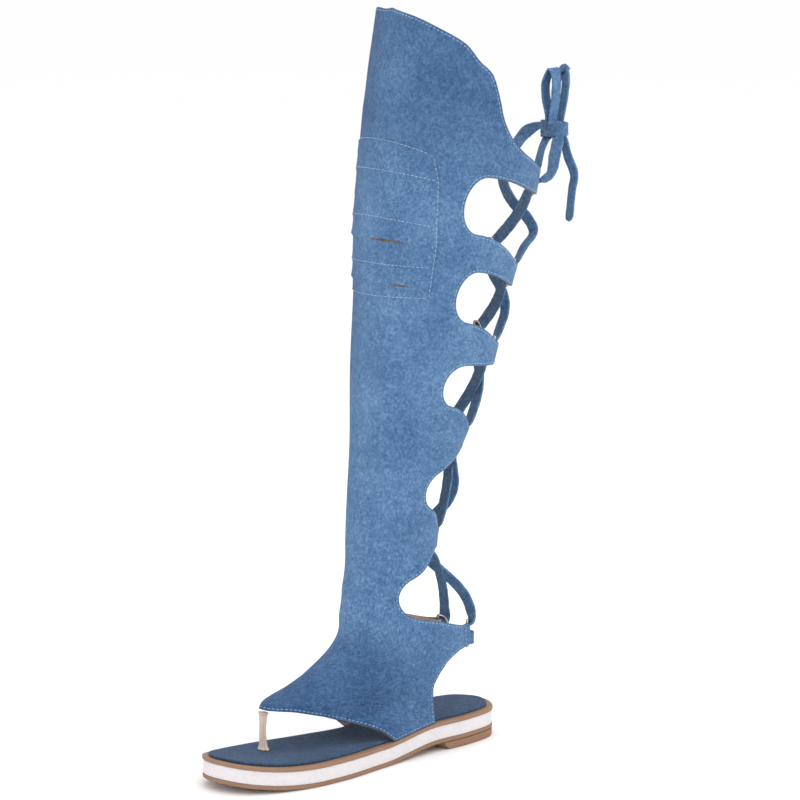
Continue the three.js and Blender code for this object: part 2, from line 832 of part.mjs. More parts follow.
function crossStrap(index, fromSide, toSide) {
  const high = strapSeat(index, fromSide, -STRAP_CLEAR);
  const low = strapSeat(index + 1, toSide, STRAP_CLEAR);
  const frame = backFrame((high.z + low.z) / 2);
  const middle = high.clone().lerp(low, 0.5).addScaledVector(frame.out, CROSSINGS[index].bow);
  const facing = turningFace(ringSeat(index, fromSide).normal, frame.out, ringSeat(index + 1, toSide).normal);
  return strapGeometry([high, middle, low], facing, 6);
}

function crossingGeometry(index) {
  const [lateral, medial] = SIDES;
  const one = toManifold(crossStrap(index, lateral, medial));
  const other = toManifold(crossStrap(index, medial, lateral));
  return fromManifold(one.add(other));
}

const BAR_DROP = 6; // the lowest strap's middle under the middle of its rings
const BAR_BOW = 6;

function bottomBarGeometry() {
  const last = TABS.length - 1;
  const [lateral, medial] = SIDES;
  const start = strapSeat(last, lateral, -BAR_DROP);
  const end = strapSeat(last, medial, -BAR_DROP);
  const frame = backFrame(start.z);
  const middle = start.clone().lerp(end, 0.5).addScaledVector(frame.out, BAR_BOW);
  const facing = turningFace(ringSeat(last, lateral).normal, frame.out, ringSeat(last, medial).normal);
  return strapGeometry([start, middle, end], facing, 6);
}

function knotGeometry() {
  const middle = backPoint(KNOT);
  const frame = backFrame(KNOT.height);
  const geometry = new THREE.SphereGeometry(0.5, 10, 6);
  geometry.scale(KNOT.deep, KNOT.width, KNOT.tall);
  geometry.rotateZ(Math.atan2(frame.side.y, frame.side.x) - Math.PI / 2);
  geometry.translate(middle.x, middle.y, middle.z);
  geometry.deleteAttribute("normal");
  geometry.deleteAttribute("uv");
  return mergeVertices(geometry, 1e-4);
}

// Loops and ends stand or hang with their flat side turned across the back.
function bowGeometry(name) {
  const route = BOW_ROUTES[name].map(backPoint);
  const frame = backFrame(KNOT.height);
  const isLoop = name.includes("loop");
  const facing = (share, way) => {
    if (!isLoop) return frame.out;
    return new THREE.Vector3().crossVectors(way, frame.out).normalize();
  };
  return strapGeometry(route, facing, 2 * route.length);
}

// ---------------------------------------------------------------- assembly

const group = new THREE.Group();
group.name = "gladiator_sandal";

function addPiece(name, geometry, color, roughness, metalness = 0) {
  const material = new THREE.MeshStandardMaterial({ color, roughness, metalness });
  const mesh = new THREE.Mesh(geometry, material);
  mesh.name = name;
  group.add(mesh);
}

const DENIM = 0x557caa;
const FOOTBED_DENIM = 0x3f5f85;
const TAN_RUBBER = 0xb08d74;
const WHITE_FOAM = 0xece8ea;
const NUDE = 0xd8c4b8;
const METAL = 0xb9bbbf;

addPiece("outsole", soleLayer(0.4, outsoleBottom, (x) => outsoleBottom(x) + OUTSOLE_THICK), TAN_RUBBER, 0.75);
addPiece("heel_block", heelBlock(), TAN_RUBBER, 0.75);
addPiece("midsole", soleLayer(0.8, midsoleBottom, (x) => weltBottom(x) - GAP), WHITE_FOAM, 0.85);
addPiece("welt", soleLayer(0, weltBottom, weltTop), TAN_RUBBER, 0.7);
addPiece("insole", soleLayer(INSOLE_INSET, insoleBottom, insoleTop), FOOTBED_DENIM, 0.95);
addPiece("upper", upperGeometry(), DENIM, 0.9);
addPiece("toe_post", toePostGeometry(), NUDE, 0.5);

TABS.forEach((_, index) => {
  SIDES.forEach((side) => {
    addPiece(`ring_${side.name}_${index + 1}`, ringGeometry(index, side), METAL, 0.3, 1);
  });
});

CROSSINGS.forEach((_, index) => {
  addPiece(`lace_cross_${index + 1}`, crossingGeometry(index), DENIM, 0.9);
});
addPiece("lace_bar_6", bottomBarGeometry(), DENIM, 0.9);
addPiece("lace_knot", knotGeometry(), DENIM, 0.9);
Object.keys(BOW_ROUTES).forEach((name) => {
  addPiece(name, bowGeometry(name), DENIM, 0.9);
});

export default group;
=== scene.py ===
"""Over-the-knee denim gladiator sandal for the left foot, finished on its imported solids."""

import json
import math

import bpy
import numpy as np
from mathutils import Matrix, Vector

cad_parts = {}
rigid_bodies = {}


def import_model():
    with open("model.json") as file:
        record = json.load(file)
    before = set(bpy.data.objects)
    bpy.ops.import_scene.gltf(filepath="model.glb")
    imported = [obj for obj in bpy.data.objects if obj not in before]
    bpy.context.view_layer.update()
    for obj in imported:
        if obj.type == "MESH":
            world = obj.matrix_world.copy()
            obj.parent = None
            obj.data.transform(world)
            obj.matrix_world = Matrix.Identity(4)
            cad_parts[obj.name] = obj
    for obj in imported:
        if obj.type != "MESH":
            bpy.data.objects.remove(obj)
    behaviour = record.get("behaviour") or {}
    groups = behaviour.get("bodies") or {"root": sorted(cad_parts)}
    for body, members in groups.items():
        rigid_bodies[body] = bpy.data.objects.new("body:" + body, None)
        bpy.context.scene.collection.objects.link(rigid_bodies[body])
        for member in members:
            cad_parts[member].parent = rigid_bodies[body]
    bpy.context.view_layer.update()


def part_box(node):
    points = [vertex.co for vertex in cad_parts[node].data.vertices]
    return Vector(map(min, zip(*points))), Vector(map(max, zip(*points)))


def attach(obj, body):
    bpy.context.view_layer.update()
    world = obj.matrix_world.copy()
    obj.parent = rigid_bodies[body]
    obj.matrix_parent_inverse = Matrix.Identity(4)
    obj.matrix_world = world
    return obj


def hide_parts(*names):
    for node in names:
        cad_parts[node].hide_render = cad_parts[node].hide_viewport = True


bl_info = {
    "name": "Denim Gladiator Sandal",
    "version": (1, 0, 0),
    "blender": (4, 5, 0),
    "location": "View3D > Sidebar > Sandal",
    "description": "Models a laced over-the-knee denim thong sandal on its packed solids",
    "category": "Object",
}

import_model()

# ------------------------------------------------------------------ the sandal's sizes
# Metres and degrees. Along is towards the toe, side is towards the outer side, height is up.
# A turn is measured round the leg from the front; the outer (lateral) side is positive.

GAP = 0.0003
OUTSOLE_THICK = 0.0030
MIDSOLE_THICK = 0.0098
WELT_THICK = 0.0025
INSOLE_THICK = 0.0020
INSOLE_INSET = 0.0046
HEEL_LIFT = 0.0060
HEEL_BLOCK_FRONT = 0.040
HEEL_BLOCK_SLANT = 0.005
HEEL_FRONT_ROUND = 0.0030  # how far the sides of its front fall back from the middle
TOE_SPRING = 0.007
TREAD_START = 0.100
TREAD_END = 0.160
WALL = 0.0020
UPPER_INSET = 0.0008
SETTLE_HEIGHT = 0.026
TIP_PAST_BAR = 0.0025

HEEL_TIP = (-0.030, 0.0)
TOE_TIP = (0.227, -0.009)
SOLE_SECTIONS = [  # along, outer side, inner side
    (-0.018, 0.0215, 0.0215),
    (0.010, 0.0285, 0.0280),
    (0.052, 0.0290, 0.0250),
    (0.097, 0.0325, 0.0260),
    (0.137, 0.0375, 0.0325),
    (0.171, 0.0365, 0.0385),
    (0.200, 0.0285, 0.0350),
    (0.219, 0.0140, 0.0260),
]

LEG_COLUMNS = ("height", "centre", "side", "front", "back", "half", "twist", "swing")
LEG_SECTIONS = [
    (0.020, 0.050, 0.000, 0.130, 0.052, 0.0280, 0, -0.016),
    (0.050, 0.054, 0.000, 0.119, 0.052, 0.0300, 0, -0.014),
    (0.057, 0.051, 0.000, 0.101, 0.053, 0.0305, -1, -0.011),
    (0.065, 0.048, 0.000, 0.086, 0.054, 0.0310, -2, -0.008),
    (0.082, 0.049, 0.000, 0.062, 0.054, 0.0310, -4, -0.003),
    (0.104, 0.052, -0.004, 0.049, 0.044, 0.0310, -6, 0.0),
    (0.146, 0.058, -0.006, 0.034, 0.032, 0.0320, -10, 0.0),
    (0.190, 0.052, -0.006, 0.037, 0.036, 0.0360, -10, 0.0),
    (0.222, 0.045, -0.005, 0.042, 0.041, 0.0410, -10, 0.0),
    (0.274, 0.031, -0.004, 0.052, 0.051, 0.0510, -10, 0.0),
    (0.333, 0.022, -0.002, 0.057, 0.057, 0.0560, -10, 0.0),
    (0.397, 0.011, 0.000, 0.065, 0.065, 0.0640, -10, 0.0),
    (0.473, 0.000, 0.002, 0.068, 0.068, 0.0670, -10, 0.0),
    (0.536, -0.014, 0.003, 0.070, 0.070, 0.0690, -10, 0.0),
]

TOP_LINE = [  # turn, height of the top edge
    (0, 0.536), (20, 0.531), (40, 0.522), (56, 0.512), (66, 0.500), (75, 0.491),
    (82, 0.475), (88, 0.458), (98, 0.443), (113, 0.432), (145, 0.4195), (160, 0.4178),
]
INNER_TOP_RISE = 0.008  # how much higher the inner side's top edge stands beside the front
VAMP_EDGE = [(0, 0.0475), (27, 0.046), (45, 0.041), (60, 0.033), (68, 0.026), (73, 0.017)]
HEEL_OPENING = [(95, 0.048), (98, 0.060), (105, 0.067), (125, 0.0724), (150, 0.0732)]
HEEL_NOSE_END = 112

LATERAL, MEDIAL = "lateral", "medial"
SIGN = {LATERAL: 1, MEDIAL: -1}

# Tabs from the top: height of the outer and the inner end, half width, bar from the back's middle.
TABS = [
    {LATERAL: 0.410, MEDIAL: 0.420, "half": 0.0078, "bar": 0.0260},
    {LATERAL: 0.344, MEDIAL: 0.356, "half": 0.0074, "bar": 0.0200},
    {LATERAL: 0.288, MEDIAL: 0.296, "half": 0.0070, "bar": 0.0145},
    {LATERAL: 0.228, MEDIAL: 0.232, "half": 0.0068, "bar": 0.0135},
    {LATERAL: 0.156, MEDIAL: 0.150, "half": 0.0070, "bar": 0.0135},
    {LATERAL: 0.081, MEDIAL: 0.079, "half": 0.0074, "bar": 0.0210},
]
# Openings from the top: turn of the rounded front, its reach, and its lower and upper height.
OPENINGS = [
    {"turn": 69, "nose": 14, "low": 0.379, "high": 0.419, "rows": 18},
    {"turn": 75, "nose": 14, "low": 0.316, "high": 0.352, "rows": 16},
    {"turn": 77, "nose": 14, "low": 0.256, "high": 0.285, "rows": 14},
    {"turn": 91, "nose": 18, "low": 0.181, "high": 0.208, "rows": 14},
    {"turn": 66, "nose": 30, "low": 0.100, "high": 0.132, "rows": 16},
]

FLOOR_SIZE = 60  # reaches the horizon, so that the background is one white
FLOOR_GAP = 0.0002  # floor under the sole
LIGHT_AIM = (0, 0, 0.25)  # what every light points at

RING_SQUARENESS = 2.7  # 2 is an oval, more is squarer
STRAP_IN_RING = 0.0030  # a strap's end, in from the ring's bar
STRAP_PAST_RING = 0.0052  # its next point, past the wire
STRAP_PASS = 0.0085  # that point above or below the ring's middle
UNDER_WIRE, OVER_WIRE = -0.0022, 0.0026  # that point off the ring's plane
RING_OFFSET = 0.0002  # a strap's end off the ring's plane
BAR_DROP = -0.0046  # the lowest strap, below its rings' middle
BAR_BOW = 0.004  # how far it bows out

BOW_FACE = np.array([0.68, 0.73, 0.0])  # the way that the straps' flat side tends to turn
KNOT = (0.018, 0.005, 0.446)  # out from the back, side, height
KNOT_BAND = (0.0098, 0.0054)  # half width and half depth of the band's way round the knot
KNOT_BAND_RISE = 0.0016  # how far the band climbs from its middle to its end
KNOT_CORE = (0.0090, 0.0047, 0.0056)  # half width, half depth and half height of the strap bunched in it
LOOP_FOOT_DROP = 0.006  # how far a loop's two ends reach down into the knot
LEAD_FIRST_RISE = 0.4  # share of a lead's rise that it has where it leaves its ring
# Routes of the bow in the same three measures as the knot.
LEAD_LATERAL = [(0.0080, 0.0225, 0.4145), (0.0125, 0.0180, 0.4280), (0.0170, 0.0125, 0.4395)]
LEAD_MEDIAL = [(0.010, -0.019, 0.442), (0.014, -0.012, 0.447), (0.017, -0.0065, 0.4475)]
LOOP_MEDIAL = [
    (0.0135, 0.003, 0.454), (0.013, -0.0035, 0.466), (0.013, -0.008, 0.479),
    (0.013, -0.003, 0.489), (0.013, 0.0035, 0.483), (0.0135, 0.007, 0.468),
    (0.0135, 0.007, 0.455),
]
LOOP_LATERAL = [
    (0.0235, -0.0015, 0.454), (0.0235, -0.007, 0.466), (0.0235, -0.009, 0.478),
    (0.0235, -0.004, 0.488), (0.0235, 0.001, 0.483), (0.0235, 0.0035, 0.470),
    (0.0235, 0.003, 0.455),
]
END_LATERAL = [
    (0.024, 0.010, 0.438), (0.028, 0.013, 0.426), (0.032, 0.019, 0.413),
    (0.031, 0.021, 0.402), (0.029, 0.026, 0.388), (0.029, 0.028, 0.380),
]
END_MEDIAL = [(0.0160, 0.0010, 0.4400), (0.0118, 0.0020, 0.4320), (0.0085, 0.0048, 0.4240), (0.0070, 0.0064, 0.4160)]

CREASE_DEPTH = 1.6  # deepens all the creases alike
# Creases of the upper: from and to as turn and height, how far it stands (or sinks), half width.
CREASES = [
    ((-30, 0.112), (35, 0.108), -0.0006, 0.0050),
    ((-38, 0.124), (30, 0.120), 0.0004, 0.0060),
    ((-20, 0.136), (28, 0.134), -0.0004, 0.0055),
    ((8, 0.100), (62, 0.062), -0.0011, 0.0070),
    ((20, 0.092), (72, 0.046), 0.0009, 0.0065),
    ((-8, 0.100), (-62, 0.062), -0.0011, 0.0070),
    ((36, 0.084), (88, 0.052), -0.0009, 0.0060),
    ((62, 0.140), (44, 0.176), -0.0010, 0.0060),
    ((84, 0.176), (56, 0.152), 0.0008, 0.0060),
    ((88, 0.214), (52, 0.240), -0.0011, 0.0070),
    ((92, 0.240), (50, 0.262), 0.0010, 0.0065),
    ((74, 0.250), (40, 0.232), -0.0008, 0.0060),
    ((76, 0.292), (46, 0.306), -0.0011, 0.0060),
    ((98, 0.298), (60, 0.318), 0.0009, 0.0060),
    ((74, 0.358), (64, 0.372), -0.0009, 0.0050),
    ((66, 0.424), (92, 0.436), -0.0013, 0.0055),
    ((72, 0.444), (96, 0.428), 0.0010, 0.0050),
    ((60, 0.456), (84, 0.462), -0.0009, 0.0060),
    ((14, 0.470), (26, 0.522), -0.0010, 0.0085),
    ((40, 0.470), (50, 0.508), 0.0009, 0.0080),
    ((-30, 0.470), (-24, 0.520), -0.0010, 0.0085),
    ((6, 0.300), (20, 0.190), -0.0009, 0.0090),
    ((34, 0.320), (40, 0.200), 0.0008, 0.0100),
    ((-14, 0.310), (-22, 0.190), -0.0010, 0.0090),
    ((-76, 0.292), (-46, 0.306), -0.0011, 0.0060),
    ((-88, 0.214), (-52, 0.240), -0.0011, 0.0070),
    ((-66, 0.424), (-92, 0.436), -0.0013, 0.0055),
    ((-20, 0.092), (-72, 0.046), 0.0009, 0.0065),
]

# Tucks across the knee panel: height at the front and at its sides, how far the edge stands.
TUCKS = [
    {"front": 0.4340, "side": 0.4280, "proud": 0.0004, "stitched": False},
    {"front": 0.4225, "side": 0.4150, "proud": 0.0007, "stitched": True},
    {"front": 0.4045, "side": 0.4000, "proud": 0.0004, "stitched": False},
    {"front": 0.3895, "side": 0.3830, "proud": 0.0007, "stitched": True},
    {"front": 0.3755, "side": 0.3715, "proud": 0.0017, "stitched": False},
    {"front": 0.3565, "side": 0.3550, "proud": 0.0007, "stitched": True},
    {"front": 0.3445, "side": 0.3425, "proud": 0.0015, "stitched": False},
]
# Open folds under the tucks, each filled with a dark sheet of painted shade: tuck, from and to turn, and how wide
# the fold gapes.
OPEN_FOLDS = [(4, 6, 33, 0.0016), (6, 25, 40, 0.0011)]
TUCK_SIDE_TURN = 54  # the turn at which a tuck has its side height
TUCK_EDGE = (-0.0022, 0.0012)  # where a tuck's edge begins and ends, about its own height
TUCK_FALL = 0.0060  # how soon a tuck falls back above its edge
PANEL_FOOT = 0.3335
PANEL_TOP = 0.446  # at the front
PANEL_TOP_DROP, PANEL_TOP_HALF = 0.010, 46  # how far the top has dropped at this turn
PANEL_TURN = 50  # the panel's first guess of its half turn
PANEL_HALF = [(0.330, 56), (0.372, 56), (0.383, 54.5), (0.415, 52), (0.436, 47), (0.446, 46)]


def to_linear(red, green, blue):
    """A colour given as 0 to 255 display values, as the linear values that Blender keeps."""
    out = []
    for value in (red, green, blue):
        part = value / 255
        out.append(part / 12.92 if part <= 0.04045 else ((part + 0.055) / 1.055) ** 2.4)
    return tuple(out)


# ------------------------------------------------------------------ settings


def size_setting(name, default, description):
    return bpy.props.FloatProperty(
        name=name, default=default, description=description, min=0, unit="LENGTH", subtype="DISTANCE", precision=5
    )


def colour_setting(name, shade, description):
    return bpy.props.FloatVectorProperty(
        name=name, default=to_linear(*shade), description=description, subtype="COLOR", size=3, min=0, max=1
    )


class SandalClothSettings(bpy.types.PropertyGroup):
    """The denim of the upper, the straps and the footbed."""

    denim: colour_setting("Denim", (80, 117, 157), "Middle tone of the washed denim")
    denim_light: colour_setting("Faded denim", (120, 153, 188), "Worn threads of the denim")
    denim_dark: colour_setting("Dark denim", (52, 84, 124), "Unworn threads of the denim")
    footbed: colour_setting("Footbed", (50, 74, 104), "Denim of the footbed")
    lining: colour_setting("Lining", (190, 160, 142), "Lining inside the shaft")
    cut_edge: colour_setting("Cut edge", (100, 86, 80), "Cut edges of denim and lining")
    thread: colour_setting("Thread", (162, 184, 208), "Topstitching")
    edge_round: size_setting("Edge rounding", 0.00045, "Rounding of the cut edges")
    stitch_length: size_setting("Stitch", 0.0024, "Length of one stitch")
    stitch_gap: size_setting("Stitch gap", 0.0008, "Gap between stitches")
    stitch_inset: size_setting("Stitch inset", 0.0017, "Topstitching in from an edge")
    thread_radius: size_setting("Thread radius", 0.00028, "Radius of the thread")


class SandalSoleSettings(bpy.types.PropertyGroup):
    """The layered sole and the toe post."""

    rubber: colour_setting("Rubber", (146, 112, 90), "Outsole and heel block")
    welt: colour_setting("Welt", (150, 116, 92), "Welt under the footbed")
    foam: colour_setting("Foam", (222, 217, 219), "Midsole")
    post: colour_setting("Toe post", (214, 192, 178), "Toe post")
    layer_round: size_setting("Layer rounding", 0.0007, "Rounding of the layers' edges")
    footbed_round: size_setting("Footbed rounding", 0.0011, "Rounding of the footbed's edge")


class SandalLaceSettings(bpy.types.PropertyGroup):
    """Rings, lace and bow."""

    metal: colour_setting("Ring metal", (200, 200, 202), "D rings")
    wire: size_setting("Ring wire", 0.0010, "Radius of the ring wire")
    half_width: size_setting("Ring half width", 0.0097, "Half the length of a ring's bar")
    depth: size_setting("Ring depth", 0.0072, "Depth of a ring")
    strap_width: size_setting("Strap width", 0.0092, "Width of the lace")
    strap_thick: size_setting("Strap thickness", 0.0018, "Thickness of the lace")
    clear: size_setting("Strap clearance", 0.0036, "Strap above or below a ring's middle")


class SandalStageSettings(bpy.types.PropertyGroup):
    """Camera, floor and light."""

    azimuth: bpy.props.FloatProperty(
        name="Azimuth", default=math.radians(137.5), subtype="ANGLE", description="Camera's turn round the sandal"
    )
    elevation: bpy.props.FloatProperty(
        name="Elevation", default=math.radians(9.3), subtype="ANGLE", description="Camera's angle above level"
    )
    distance: size_setting("Camera distance", 2.2, "From the camera to its target")
    target: bpy.props.FloatVectorProperty(
        name="Target", default=(0.055, 0, 0.257), subtype="TRANSLATION", description="What the camera looks at"
    )
    lens: bpy.props.FloatProperty(name="Lens", default=138.1, unit="CAMERA", description="Focal length")
    floor: colour_setting("Floor", (254, 254, 254), "The studio floor")
    key_power: bpy.props.FloatProperty(
        name="Key light", default=13, unit="POWER", description="Power of the large soft key light"
    )


# ------------------------------------------------------------------ small maths


def mix(a, b, t):
    return a + (b - a) * t


def smoothstep(value, low, high):
    t = np.clip((np.asarray(value, float) - low) / (high - low), 0, 1)
    return t * t * (3 - 2 * t)


def unit(vectors):
    return vectors / np.maximum(np.linalg.norm(vectors, axis=-1, keepdims=True), 1e-12)


def smooth_column(rows, column=1):
    """A smooth curve through a table that never overshoots its rows."""
    x = np.array([row[0] for row in rows], float)
    y = np.array([row[column] for row in rows], float)
    slope = np.diff(y) / np.diff(x)
    tangent = np.zeros(len(x))
    tangent[0], tangent[-1] = slope[0], slope[-1]
    before, after = slope[:-1], slope[1:]
    same = before * after > 0
    tangent[1:-1][same] = (2 * before * after)[same] / (before + after)[same]

    def at(value):
        v = np.clip(value, x[0], x[-1])
        i = np.clip(np.searchsorted(x, v, side="right") - 1, 0, len(x) - 2)
        step = x[i + 1] - x[i]
        t = (v - x[i]) / step
        t2, t3 = t * t, t * t * t
        return (
            (2 * t3 - 3 * t2 + 1) * y[i]
            + (t3 - 2 * t2 + t) * step * tangent[i]
            + (3 * t2 - 2 * t3) * y[i + 1]
            + (t3 - t2) * step * tangent[i + 1]
        )

    return at


def spline(points, steps, closed=False):
    """Points on a centripetal Catmull-Rom curve, the same number in each span."""
    points = np.asarray(points, float)
    count = len(points)
    if closed:
        padded = np.concatenate([points[-1:], points, points[:2]])
        spans = count
    else:
        padded = np.concatenate([2 * points[:1] - points[1:2], points, 2 * points[-1:] - points[-2:-1]])
        spans = count - 1
    out = []
    for k in range(spans):
        p0, p1, p2, p3 = padded[k : k + 4]
        d0, d1, d2 = (max(np.linalg.norm(b - a) ** 0.5, 1e-6) for a, b in ((p0, p1), (p1, p2), (p2, p3)))
        start = ((p1 - p0) / d0 - (p2 - p0) / (d0 + d1) + (p2 - p1) / d1) * d1
        end = ((p2 - p1) / d1 - (p3 - p1) / (d1 + d2) + (p3 - p2) / d2) * d1
        for t in np.arange(steps) / steps:
            cubic = -3 * p1 + 3 * p2 - 2 * start - end, 2 * p1 - 2 * p2 + start + end
            out.append(p1 + start * t + cubic[0] * t**2 + cubic[1] * t**3)
    if not closed:
        out.append(points[-1])
    return np.array(out)


def lengths_along(points):
    steps = np.linalg.norm(np.diff(points, axis=0), axis=1)
    return np.concatenate([[0], np.cumsum(steps)])


def resample(points, distances):
    """Points at given distances along a polyline, with extra columns carried along."""
    points = np.asarray(points, float)
    length = lengths_along(points[:, :3])
    return np.stack([np.interp(distances, length, points[:, k]) for k in range(points.shape[1])], 1)


# ------------------------------------------------------------------ the sole's shape


def outsole_bottom(along):
    heel = HEEL_LIFT * (1 - smoothstep(along, HEEL_BLOCK_FRONT - 0.002, TREAD_START))
    toe = TOE_SPRING * np.clip((along - TREAD_END) / (TOE_TIP[0] - TREAD_END), 0, 1) ** 2
    return heel + toe


def layer_heights(name):
    """Bottom and top of a layer above the outsole's underside."""
    midsole = OUTSOLE_THICK + GAP
    welt = midsole + MIDSOLE_THICK + GAP
    insole = welt + WELT_THICK + GAP
    return {
        "outsole": (0, OUTSOLE_THICK),
        "midsole": (midsole, midsole + MIDSOLE_THICK),
        "welt": (welt, welt + WELT_THICK),
        "insole": (insole, insole + INSOLE_THICK),
    }[name]


def welt_top(along):
    return outsole_bottom(along) + layer_heights("welt")[1]


OUTLINE_STEPS = 16


def sole_outline(inset):
    """The sole's outline from the heel tip round the outer side, moved in by an inset."""
    outer = [(along, lateral) for along, lateral, _ in SOLE_SECTIONS]
    inner = [(along, -medial) for along, _, medial in reversed(SOLE_SECTIONS)]
    raw = spline([HEEL_TIP, *outer, TOE_TIP, *inner], OUTLINE_STEPS, closed=True)
    way = unit(np.roll(raw, -1, axis=0) - np.roll(raw, 1, axis=0))
    return raw + np.stack([way[:, 1], -way[:, 0]], 1) * inset


def wall_sides():
    """Side of the wall's outer face at any place along, for the outer and the inner side."""
    edge = sole_outline(UPPER_INSET)
    toe = len(edge) // 2
    lateral = edge[: toe + 1]
    medial = np.concatenate([edge[toe:], edge[:1]])[::-1]
    return (
        lambda along: np.interp(along, lateral[:, 0], lateral[:, 1]),
        lambda along: np.interp(along, medial[:, 0], medial[:, 1]),
    )


# ------------------------------------------------------------------ the last and the leg

leg = {name: smooth_column(LEG_SECTIONS, k) for k, name in enumerate(LEG_COLUMNS) if k}
wall_lateral, wall_medial = wall_sides()
FULL_WIDTH_TURN = 0.9


def leg_point(turn, height):
    """Points of the upper's outer face."""
    turn, height = np.broadcast_arrays(np.asarray(turn, float), np.asarray(height, float))
    across, forward = np.sin(np.radians(turn)), np.cos(np.radians(turn))
    reach = np.where(forward > 0, leg["front"](height), leg["back"](height))
    swing = np.where(forward > 0, leg["swing"](height) * forward, 0)
    x = reach * forward
    y = leg["half"](height) * across + swing
    twist = np.radians(leg["twist"](height))
    along = leg["centre"](height) + x * np.cos(twist) - y * np.sin(twist)
    free = leg["side"](height) + x * np.sin(twist) + y * np.cos(twist)
    edge = np.where(across > 0, wall_lateral(along), wall_medial(along))
    seated = edge * np.minimum(1, np.abs(across) / FULL_WIDTH_TURN)
    seat = welt_top(along)
    settle = 1 - smoothstep((height - seat) / SETTLE_HEIGHT, 0, 1)
    return np.stack([along, mix(free, seated, settle), height], -1)


def leg_normal(turn, height):
    turn, height = np.broadcast_arrays(np.asarray(turn, float), np.asarray(height, float))
    round_leg = leg_point(turn + 0.5, height) - leg_point(turn - 0.5, height)
    up = leg_point(turn, height + 0.0005) - leg_point(turn, height - 0.0005)
    return unit(np.cross(round_leg, up))


def back_point(off, side, height):
    """A point behind the shaft: out from its back, towards the outer side, and its height."""
    out = back_out(height)
    across = np.array([out[1], -out[0], 0])
    return leg_point(180, height) + out * off + across * side


def back_out(height):
    """The level direction straight out from the shaft's back at a height."""
    twist = math.radians(float(leg["twist"](height)))
    return np.array([-math.cos(twist), -math.sin(twist), 0])


def turn_from_back(distance, height, side):
    """The turn, without its sign, that lies a distance short of the middle of the back."""
    turns = np.linspace(180, 90, 361)
    length = lengths_along(leg_point(SIGN[side] * turns, height))
    return float(np.interp(distance, length, turns))


def tip_line(side):
    rows = [(tab[side], turn_from_back(tab["bar"] - TIP_PAST_BAR, tab[side], side)) for tab in reversed(TABS)]
    return smooth_column(rows)


tip_turn = {side: tip_line(side) for side in SIGN}
top_edge = smooth_column(TOP_LINE)
vamp_edge = smooth_column(VAMP_EDGE)
heel_edge = smooth_column(HEEL_OPENING)
panel_half = smooth_column(PANEL_HALF)


def crease_at(turn, height):
    """How far the cloth stands off its plain shape: the creases and a slight unevenness."""
    stand = np.zeros(np.broadcast(turn, height).shape)
    round_scale = np.radians(1) * leg["half"](height)
    for (turn_a, height_a), (turn_b, height_b), depth, half in CREASES:
        around = (turn_b - turn_a) * np.radians(1) * float(leg["half"]((height_a + height_b) / 2))
        along = np.array([around, height_b - height_a])
        length = np.linalg.norm(along)
        along = along / length
        x = (turn - turn_a) * round_scale
        z = height - height_a
        run = x * along[0] + z * along[1]
        off = -x * along[1] + z * along[0] + 0.06 * length * np.sin(np.pi * np.clip(run / length, 0, 1))
        fade = smoothstep(run, -0.15 * length, 0.35 * length) * (1 - smoothstep(run, 0.65 * length, 1.15 * length))
        stand += CREASE_DEPTH * depth * np.exp(-((off / half) ** 2)) * fade
    return stand


# ------------------------------------------------------------------ the upper's grid

COLUMNS = 76  # on each side, from the front to the tab ends
CLOTH_ROWS = [26, 16, 24, 22, 15, 13, 50]  # strips of cloth from the sole to the top edge
FRONT_BLEND = 20  # the two sides' edges agree in front of this turn


def low_line(turn, side):
    height = np.where(turn < VAMP_EDGE[-1][0], vamp_edge(turn), 0)
    seat = welt_top(leg_point(SIGN[side] * turn, np.maximum(height, 0.020))[..., 0]) + GAP
    return np.maximum(height, seat)


def heel_line(turn, side):
    shift = TABS[-1][side] - TABS[-1][LATERAL]
    return heel_edge(np.maximum(turn, HEEL_NOSE_END)) + shift * smoothstep(turn, FRONT_BLEND, 95)


def top_line(turn, side):
    inner_rise = (side == MEDIAL) * INNER_TOP_RISE * smoothstep(turn, 0, 36) * (1 - smoothstep(turn, 44, 76))
    return top_edge(turn) + inner_rise + (TABS[0][side] - TABS[0][LATERAL]) * smoothstep(turn, 80, 120)


def opening_line(index, upper):
    """The lower or upper edge of an opening, carried on round the front of the leg."""
    row = OPENINGS[index]
    middle, tall = (row["low"] + row["high"]) / 2, (row["high"] - row["low"]) / 2
    tab = TABS[index] if upper else TABS[index + 1]
    way = 1 if upper else -1

    def at(turn, side):
        lift = 0.7 * (TABS[index][side] - TABS[index][LATERAL]) * smoothstep(turn, FRONT_BLEND, row["turn"])
        to_back = smoothstep(turn, row["turn"] + 0.6 * row["nose"], 146)
        return mix(middle + lift + way * tall, tab[side] - way * tab["half"], to_back)

    return at


def height_on(line, share, side):
    """Where an edge line crosses a column, given as a share of the way to the tab ends."""
    height = np.full(np.shape(share), 0.25)
    for _ in range(16):
        height = line(share * tip_turn[side](height), side)
    return height


def even_parts(low, high, share, side, rows):
    """Parts of a strip's height that give rows of even length up each column."""
    parts = np.linspace(0, 1, rows + 1)[:, None] * np.ones(len(share))
    fine = np.linspace(0, 1, 33)
    for c, u in enumerate(share):
        height = mix(low[c], high[c], fine)
        length = lengths_along(leg_point(SIGN[side] * u * tip_turn[side](height), height))
        parts[:, c] = np.interp(parts[:, c] * length[-1], length, fine)
    return parts


def heel_back_turn(height, side):
    """Turn of the heel opening's front edge at a height."""
    turns = np.linspace(HEEL_OPENING[0][0], HEEL_NOSE_END, 120)
    return np.interp(height, heel_edge(turns) + TABS[-1][side] - TABS[-1][LATERAL], turns)


